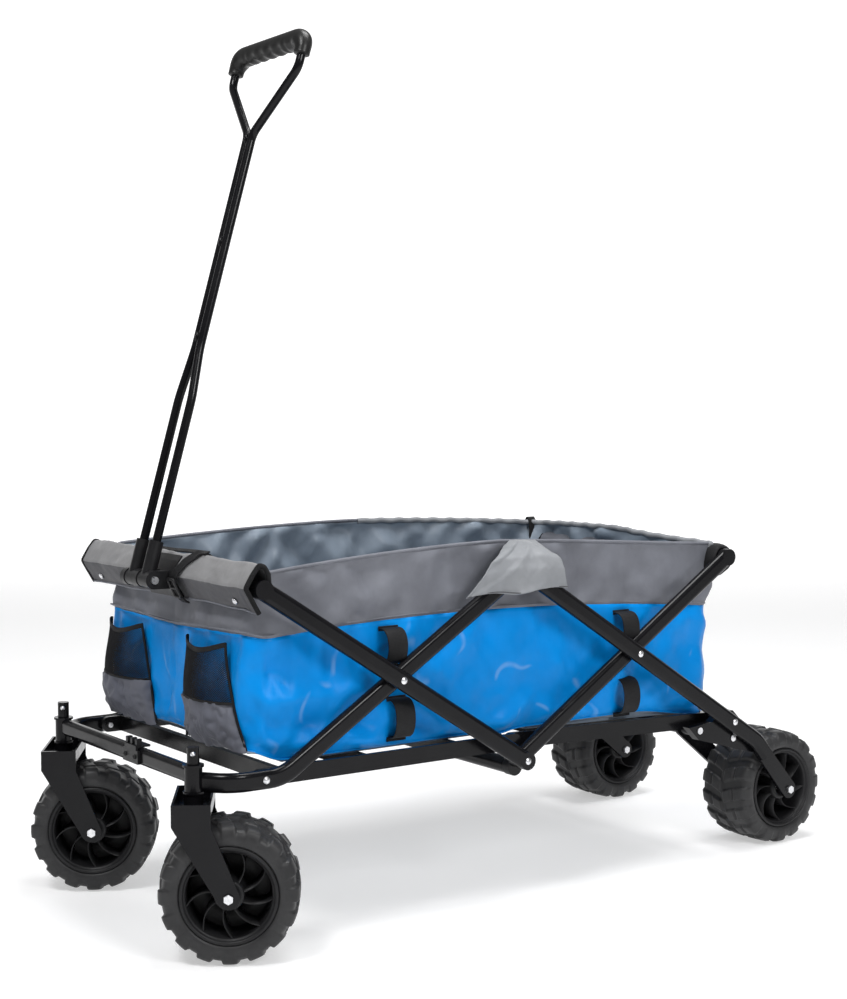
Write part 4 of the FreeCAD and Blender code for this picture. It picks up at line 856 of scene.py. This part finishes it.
def joint_flaps():
    """The cloth that hangs from the rim over each upper middle joint."""
    columns, rows = 60, 40
    over = 0.42  # the share of the cloth that lies on top, before it turns down
    for name, side in SIDES.items():
        def point(u, v, side=side):
            across = 2 * u - 1
            crown = 517.5 - 5 * abs(across) ** 2.5
            if v < over:
                share = v / over
                y = mix(mix(4, 52, u), mix(-70, 60, u), share)
                x = mix(227.5, 279, smooth(0, 1, share) * 0.45 + share * 0.55)
                rim = near_rim(y) if side > 0 else far_rim(y)
                z = mix(rim, crown, share) + 3 * math.sin(math.pi * share) * (1 - across * across)
            else:
                share = (v - over) / (1 - over)
                y = mix(mix(-70, 60, u), mix(-110, 70, u), share)
                x = mix(279, 286, min(1.0, share * 3)) - 2.5 * share - 13 * smooth(0.35, 1, -across) * share
                lower = 466 + 3 * math.sin(u * 9) - 5 * smooth(0.3, 1, -across)
                z = mix(crown, lower, share)
            return at(side * x, y, z)

        flap = grid(f"joint_flap_{name}", columns, rows, point, "flap", size=(0.17, 0.12))
        pleat(flap, columns, rows, side)
        crumple(flap, 1.2, 24, 3.0 + side)
        thicken(flap, 0.0014)
        soft(flap, ("joint_flaps",) if side > 0 else ())
        hem = [point(i / 40, 0.975) + by(side * 1.2, 0, 0) for i in range(41)]
        soft(swept(f"flap_stitching_{name}", hem, 0.0006, "thread", sides=8))


def webbing_loops():
    """Four loops sewn to each side, with a tab at each end: back, up and half of its height."""
    places = ((-219, 399, 25), (-206, 294, 28), (222, 391, 25), (224, 284, 28))
    for name, side in SIDES.items():
        for number, (y, z, reach) in enumerate(places):
            def path(t, side=side, y=y, z=z, reach=reach):
                angle = mix(-1, 1, t) * math.pi * 0.5
                out = 26 * max(math.cos(angle), 0.0) ** 0.62
                return at(side * (231.5 + out), y, z + reach * math.sin(angle))

            across = Vector((0, 1, 0))
            loop = ribbon(f"loop_{name}_{number}", path, lambda t: across, 0.033, 0.0018, "webbing", 36)
            soft(loop, ("webbing_loops",) if side > 0 and number == 0 else ())
            for step, height in enumerate((z + reach + 1, z - reach - 1)):
                def tab(u, v, side=side, y=y, height=height):
                    return at(side * 231.6, y + mix(-16.5, 16.5, u), height + mix(-5, 2, v))

                patch = grid(f"loop_tab_{name}_{number}_{step}", 6, 4, tab, "webbing", size=(0.025, 0.012))
                soft(thicken(patch, 0.0016))


def cup_pockets():
    """Two pouches on the front: crumpled grey cloth below, black net above, with a bound top edge."""
    bottom, change, top = 267.0, 331.0, 414.0
    for name, side in SIDES.items():
        def edges(z, side=side):
            share = (z - bottom) / (top - bottom)
            if side < 0:
                return mix(45, 92, share), mix(224, 197, share)
            return mix(52, 58, share), mix(220, 170, smooth(-0.25, 1, share))

        def point(u, v, z0, z1, side=side):
            z = mix(z0, z1, v)
            inner, outer = edges(z)
            x = mix(inner, outer, u)
            share = (z - bottom) / (top - bottom)
            belly = math.sin(math.pi * min(max(u, 0), 1)) ** 0.55
            depth = mix(18, 27, smooth(0, 0.35, share)) - 11 * smooth(0.5, 1, share)
            depth *= smooth(-0.12, 0.16, share)
            z_drop = -11 * math.sin(math.pi * u) * smooth(0.6, 1, share)
            wrap = 26 * smooth(196, 232, x) * 0.5
            return at(side * x, FRONT - 2.2 - belly * depth + wrap, z + z_drop)

        def cloth(u, v):
            return point(u, v, bottom, change)

        pouch = grid(f"pocket_cloth_{name}", 60, 30, cloth, "pocket", size=(0.2, 0.07))
        crumple(pouch, 5.0, 30, 6.0 + side * 2)
        modify(pouch, "SUBSURF", levels=1, render_levels=1)
        pouch = thicken(pouch, 0.0014, offset=-1)
        soft(pouch, ("cup_pockets",) if side > 0 else ())

        def meshes(u, v):
            return point(u, v, change, top)

        columns, rows = 46, 30
        net = grid(f"pocket_net_{name}", columns, rows, meshes, "net", size=(0.15, 0.09))
        shear(net, (columns + 1) * (rows + 1))
        modify(net, "WIREFRAME", thickness=0.0011, use_even_offset=False)
        soft(bake(net))
        for label, z, width in (("top", top - 3, 0.0075), ("middle", change + 1, 0.004)):
            def path(t, share=(z - bottom) / (top - bottom)):
                return point(t, share, bottom, top) + by(0, -0.8, 0)

            across = Vector((0, 0, 1))
            band = ribbon(f"pocket_{label}_band_{name}", path, lambda t: across, width, 0.0014, "webbing", 50)
            soft(band)
        for label, u in (("inner", 0.0), ("outer", 1.0)):
            line = [point(u, i / 20, bottom, top) + by(0, -1.0, 0) for i in range(21)]
            soft(swept(f"pocket_{label}_edge_{name}", line, 0.002, "webbing"))


def shear(net, corners):
    """Turn a square grid, of so many corners, into a net of diamonds."""
    def cut(mesh):
        bmesh.ops.poke(mesh, faces=mesh.faces)
        straight = [edge for edge in mesh.edges if all(0 <= end.index < corners for end in edge.verts)]
        inside = [edge for edge in straight if len(edge.link_faces) == 2]
        bmesh.ops.dissolve_edges(mesh, edges=inside, use_verts=False)

    edit_mesh(net, cut)


def rail_strap():
    """Webbing slantwise over the front rail, with its buckle at the front, and the strap's long end."""
    route = [
        (106, -433, 512), (106, -433.5, 523), (104, -438.5, 531.5), (98, -448, 533.5), (76, -459.5, 521),
        (63, -472.5, 502), (61, -474, 492), (61.5, -467, 476), (62, -458, 463), (62, -450, 460),
    ]

    def path(t):
        return at(*rounded(route, t, 0.045))

    def across(t):
        """Square to the webbing's run, in the surface that it lies on."""
        run = path(min(t + 0.02, 1.0)) - path(max(t - 0.02, 0.0))
        outward = Vector((0, -run.z, run.y)).normalized()
        return outward.cross(run).normalized()

    strap = ribbon("rail_strap_webbing", path, across, 0.019, 0.0024, "webbing", 90)
    ride(strap, "front_top_frame", ("rail_strap",))
    tail_route = [(118, -446, 534.5), (60, -440, 533), (0, -439, 531), (-70, -439, 530.5)]

    def tail_path(t):
        return at(*rounded(tail_route, t, 0.05))

    tail = ribbon("rail_strap_tail", tail_path, lambda t: Vector((0, 0.95, 0.3)), 0.010, 0.0022, "webbing")
    ride(tail, "front_top_frame")
    spot = at(63, -471.5, 482)
    oblong = [(-9, -13), (9, -13), (9, 13), (-9, 13), (-9, -13)]
    ring = []
    for number in range(32):
        x, z = rounded(oblong, number / 32, 0.03)
        ring.append(spot + Vector((x * MM, -0.5 * z * MM, z * MM)))
    ride(swept("strap_buckle_ring", ring, 0.0022, "plastic", closed=True), "front_top_frame")
    bar = [spot + Vector((x * MM, -0.0006, 0)) for x in (-9, 9)]
    bar = swept("strap_buckle_bar", bar, 0.0019, "plastic", smooth_path=False)
    ride(bar, "front_top_frame")


# ---------------------------------------------------------------- wheels


LUGS, SPOKES = 16, 9
# The tyre before its lugs: half its width, half the crown's, the crown's radius, and how high lugs are.
TYRE_HALF, SHOULDER, CROWN, LUG_HEIGHT = 51, 38, 89.6, 4.6


def tread(across, angle):
    """How far the tread stands up, from 0 in a groove to 1 on a lug, at -1 to 1 across and an angle."""
    side = 0.5 if across < 0 else 0.0
    reach = abs(across)
    sweep_back = 0.62 * reach - 0.22 * reach * reach
    phase = (angle * LUGS / math.tau + side + sweep_back) % 1.0
    lug = smooth(0.06, 0.14, phase) * (1 - smooth(0.64, 0.72, phase))
    notch = 1 - 0.85 * smooth(0.40, 0.46, reach) * (1 - smooth(0.50, 0.56, reach)) * (1 - lug * 0.4)
    centre = 1 - smooth(0.03, 0.09, reach)
    return max(lug * notch, 0.0) * (1 - centre) + 0.25 * centre


# Half sections, along the axle and out from it: the tyre's left wall, and the rim from lip to bore.
TYRE_SIDE = [
    (-46, 65.5), (-49, 67.2), (-50.6, 69.5), (-51, 74),
    (-50.6, 79.5), (-48.5, 84.5), (-44.5, 87.8), (-SHOULDER, CROWN),
]
RIM_SIDE = [
    (48.5, 66.3), (50.2, 65.6), (50.8, 63.8), (50.2, 61.8), (48.2, 60.6), (46.6, 60.2), (46.2, 58.8),
    (44.5, 57.6), (36, 57.0), (20, 55.8), (5, 54.6), (3.5, 53), (3, 40), (3, 24), (20, 21.5), (40, 20.4),
    (45, 19.8), (46, 18.6), (46, 12),
]


def tyre_points():
    """The tyre's closed section: one wall, the crown, the other wall and the inside."""
    steps = np.linspace(-SHOULDER, SHOULDER, 27)[1:-1]
    crown = [(x, CROWN + 1 - (x / SHOULDER) ** 2) for x in steps]
    right = [(-x, r) for x, r in reversed(TYRE_SIDE)]
    inner = [(x, 64.6) for x in (30, 0, -30)]
    return [*TYRE_SIDE, *crown, *right, *inner]


def wheel(name, tyre_node, rim_node, body):
    """A treaded tyre on a rim with a web in the middle and spokes on both faces."""
    centre = middle_of(tyre_node)
    axis = joint_axis(body)
    side = Vector((0, 0, 1))
    other = axis.cross(side)
    profile = refine(tyre_points())
    steps = 23 * LUGS

    def point(u, v):
        x, radius = profile[round(v * (len(profile) - 1))] if v < 1 else profile[0]
        angle = u * math.tau
        lug = tread(x / TYRE_HALF, angle)
        climb = smooth(80, 87.5, radius) if abs(x) > SHOULDER else 1.0
        if radius > 66:  # outside the bead
            radius += LUG_HEIGHT * lug * climb
        way = side * math.cos(angle) + other * math.sin(angle)
        if abs(x) > 44:
            x += math.copysign(0.9 * lug * smooth(72, 80, radius), x)
        return centre + (axis * x + way * radius) * MM

    tyre = grid(f"{name}_tyre", steps, len(profile), point, "tyre", closed=True, size=(0.6, 0.2))
    edit_mesh(tyre, lambda mesh: bmesh.ops.remove_doubles(mesh, verts=mesh.verts, dist=1e-6))
    ride(tyre, body, (tyre_node,))
    whole = [*RIM_SIDE, *[(-x, r) for x, r in reversed(RIM_SIDE)]]
    parts = [turned("rim_disc", [(x * MM, r * MM) for x, r in whole], centre, axis, "rim", 96)]
    for face in (1, -1):
        for number in range(SPOKES):
            parts.append(spoke(centre, axis, side, other, face, number))
    ride(join(f"{name}_rim", parts), body, (rim_node,))


def refine(profile):
    """More points where the tread's edge turns."""
    finer = []
    for (x0, r0), (x1, r1) in zip(profile, profile[1:] + profile[:1]):
        finer.append((x0, r0))
        if math.dist((x0, r0), (x1, r1)) > 2.4 and max(r0, r1) > 79:
            finer.append(((x0 + x1) / 2, (r0 + r1) / 2))
    return finer


def spoke(centre, axis, side, other, face, number):
    """One thin curved rib, deep at the hub and at the rim."""
    start = number / SPOKES * math.tau

    def point(u, along):
        radius = mix(17, 58, along)
        angle = start + face * 0.42 * along**1.6
        thick = 1.35 + 0.9 * abs(along - 0.5) ** 2
        corner = round(u * 4) % 4
        across = thick if corner in (1, 2) else -thick
        front = 43.5 - 5.5 * math.sin(math.pi * along) ** 0.7
        depth = front if corner in (2, 3) else 2.0
        if corner in (2, 3):
            across *= 0.62
        way = side * math.cos(angle) + other * math.sin(angle)
        tangent = other * math.cos(angle) - side * math.sin(angle)
        return centre + (axis * (face * depth) + way * radius + tangent * across) * MM

    return grid("rib", 4, 14, point, "rim", closed=True, size=(0.05, 0.05))


def joint_axis(body):
    """The way of the axle that a body turns on."""
    joint = next(j for j in frame["joints"] if j["child"] == body)
    return Vector(joint["axis"]).normalized()


# ---------------------------------------------------------------- handle

# How far the handle's plane stands up from level, and its own two ways.
LEAN = math.radians(74.06)
PIVOT = middle_of("handle_bolt")
UP_HANDLE = Vector((0, math.cos(LEAN), math.sin(LEAN)))
OFF_HANDLE = Vector((0, math.sin(LEAN), -math.cos(LEAN)))


def on_handle(x, s, n=0.0):
    """A point on the handle: across it, up along it and off its front, in millimetres."""
    return Vector((MID.x + x * MM, PIVOT.y, PIVOT.z)) + UP_HANDLE * (s * MM) + OFF_HANDLE * (n * MM)


def handle_grip():
    """The moulded loop grip: a bar with finger grooves beneath and a sleeve down each branch."""
    half, foot, bar, bend = 98.0, 783.7, 811.7, 21.0
    thick, taper, groove, finger = 15.6, 3.2, 3.0, 26.0
    route = [(-half, foot), (-half, bar - bend)]
    for step in range(1, 8):
        angle = math.pi - step / 8 * math.pi / 2
        route.append((-half + bend + bend * math.cos(angle), bar - bend + bend * math.sin(angle)))
    route.append((-half + bend, bar))
    route = route + [(-x, s) for x, s in reversed(route)]
    samples, sides = 150, 28

    def point(u, v):
        x, s = along_path(route, v)
        before, after = along_path(route, max(v - 0.004, 0)), along_path(route, min(v + 0.004, 1))
        dx, ds = after[0] - before[0], after[1] - before[1]
        length = math.hypot(dx, ds)
        inward = (ds / length, -dx / length)
        angle = u * math.tau
        end = min(v, 1 - v)
        radius = thick - taper * (1 - smooth(0.02, 0.12, end))
        radius += 1.2 * (1 - smooth(0.0, 0.012, end))
        if end < 0.002:
            radius *= 0.5
        under = max(0.0, math.cos(angle))
        on_bar = 1 - smooth(52, 66, abs(x)) if s > bar - 3 else 0.0
        ridge = (0.5 + 0.5 * math.cos(x / finger * math.tau)) * on_bar
        radius -= under**1.5 * groove * (1 - ridge) * on_bar
        flat = 1 - 0.06 * math.sin(angle) ** 2
        across = radius * math.cos(angle)
        off = radius * flat * math.sin(angle)
        return on_handle(x + inward[0] * across, s + inward[1] * across, off)

    grip = grid("loop_grip", sides, samples, point, "grip", closed=True, size=(0.1, 0.28))
    edit_mesh(grip, cap_ends)
    modify(grip, "SUBSURF", levels=1, render_levels=1)
    ride(bake(grip), "handle", ("handle_grip",))
    bead = [(-0.008, 0.0005), (-0.006, 0.0022), (0, 0.0033), (0.006, 0.0022), (0.008, 0.0005)]
    beads = [turned("bead", bead, on_handle(0, s, -5.4), UP_HANDLE, "frame", 20) for s in (362, 508, 669)]
    ride(join("handle_welds", beads), "handle")


def cap_ends(mesh):
    """Close every open end, whatever its number of sides."""
    bmesh.ops.holes_fill(mesh, edges=[edge for edge in mesh.edges if edge.is_boundary], sides=0)


front_sleeve()
rear_sleeve()
corner_strap()
joint_flaps()
webbing_loops()
cup_pockets()
rail_strap()
for side_name in SIDES:
    for end in ("front", "rear"):
        nodes = (f"{end}_tyre_{side_name}", f"{end}_rim_{side_name}")
        wheel(f"{end}_{side_name}", *nodes, f"{end}_wheel_{side_name}")
handle_grip()


# ---------------------------------------------------------------- CAD nodes' finishes

SLOT_LOOKS = {
    "frame_black": "frame",
    "dark_steel": "steel",
    "tyre_rubber": "tyre",
    "wheel_plastic": "rim",
    "black_plastic": "plastic",
    "blue_fabric": "blue",
    "grey_fabric": "grey",
    "black_webbing": "webbing",
    "floor_board": "lining",
}
for row in frame["record"]["subparts"]:
    node = frame["nodes"][row["node"]]
    node.data.materials.clear()
    node.data.materials.append(LOOKS[SLOT_LOOKS[row["material_slot"]]])


# ---------------------------------------------------------------- stage, light and camera


def studio():
    """White paper that curves up behind the cart, three soft lamps and a faint sky."""
    start, level, bend, radius = -5, 8, 6, 4  # in metres

    def sweep(u, v):
        run = v * (level + bend)
        x = mix(-9, 9, u)
        if run < level:
            return Vector((x, start + run, 0))
        angle = min((run - level) / bend, 1) * math.pi / 2
        return Vector((x, start + level + radius * math.sin(angle), radius * (1 - math.cos(angle))))

    floor = grid("studio_floor", 2, 60, sweep, None)
    floor.data.transform(Matrix.Rotation(math.radians(55), 4, "Z"))
    paper = Recipe("studio_paper", Roughness=0.6, Specular_IOR_Level=0.1)
    paper.shader.inputs["Base Color"].default_value = (0.6, 0.6, 0.605, 1)
    paper.shader.inputs["Emission Color"].default_value = (1, 1, 1, 1)
    height = paper.node("SeparateXYZ", Vector=paper.place()).outputs["Z"]
    glow = paper.node("MapRange", Value=height, From_Min=0.0, From_Max=0.3, To_Min=0.46, To_Max=1.0)
    paper.tree.links.new(glow.outputs[0], paper.shader.inputs["Emission Strength"])
    floor.data.materials.append(paper.material)
    world = bpy.data.worlds.new("studio")
    bpy.context.scene.world = world
    world.use_nodes = True
    sky = world.node_tree.nodes["Background"]
    sky.inputs["Color"].default_value = (1, 1, 1, 1)
    sky.inputs["Strength"].default_value = 0.22
    lamps = (
        ("key", (3.3, -0.2, 2.3), 1.0, 58),
        ("front", (0.9, -2.3, 3.5), 1.1, 85),
        ("top", (0.2, 0.6, 3.6), 1.6, 85),
    )
    for name, spot, size, power in lamps:
        light = bpy.data.lights.new(name, "AREA")
        light.size = size
        light.energy = power
        lamp = bpy.data.objects.new(name, light)
        lamp.location = spot
        aim = Vector((0, 0, 0.35)) - lamp.location
        lamp.rotation_euler = aim.to_track_quat("-Z", "Y").to_euler()
        bpy.context.scene.collection.objects.link(lamp)
    bpy.context.scene.view_settings.view_transform = "Standard"


def camera():
    """The photo's view: a long lens at the cart's left front, a little higher than its rim."""
    lens = bpy.data.cameras.new("camera")
    lens.lens = 61.83
    lens.sensor_width = 36
    lens.clip_end = 100
    body = bpy.data.objects.new("camera", lens)
    body.location = at(2254.5, -1575.6, 740.3)
    aim = at(0, 5.45, 589.75) - body.location
    turn = aim.to_track_quat("-Z", "Y").to_matrix().to_4x4()
    roll = Matrix.Rotation(math.radians(-0.11), 4, "Z")
    body.matrix_world = Matrix.Translation(body.location) @ turn @ roll
    bpy.context.scene.collection.objects.link(body)
    bpy.context.scene.camera = body


studio()
camera()

bpy.context.view_layer.update()
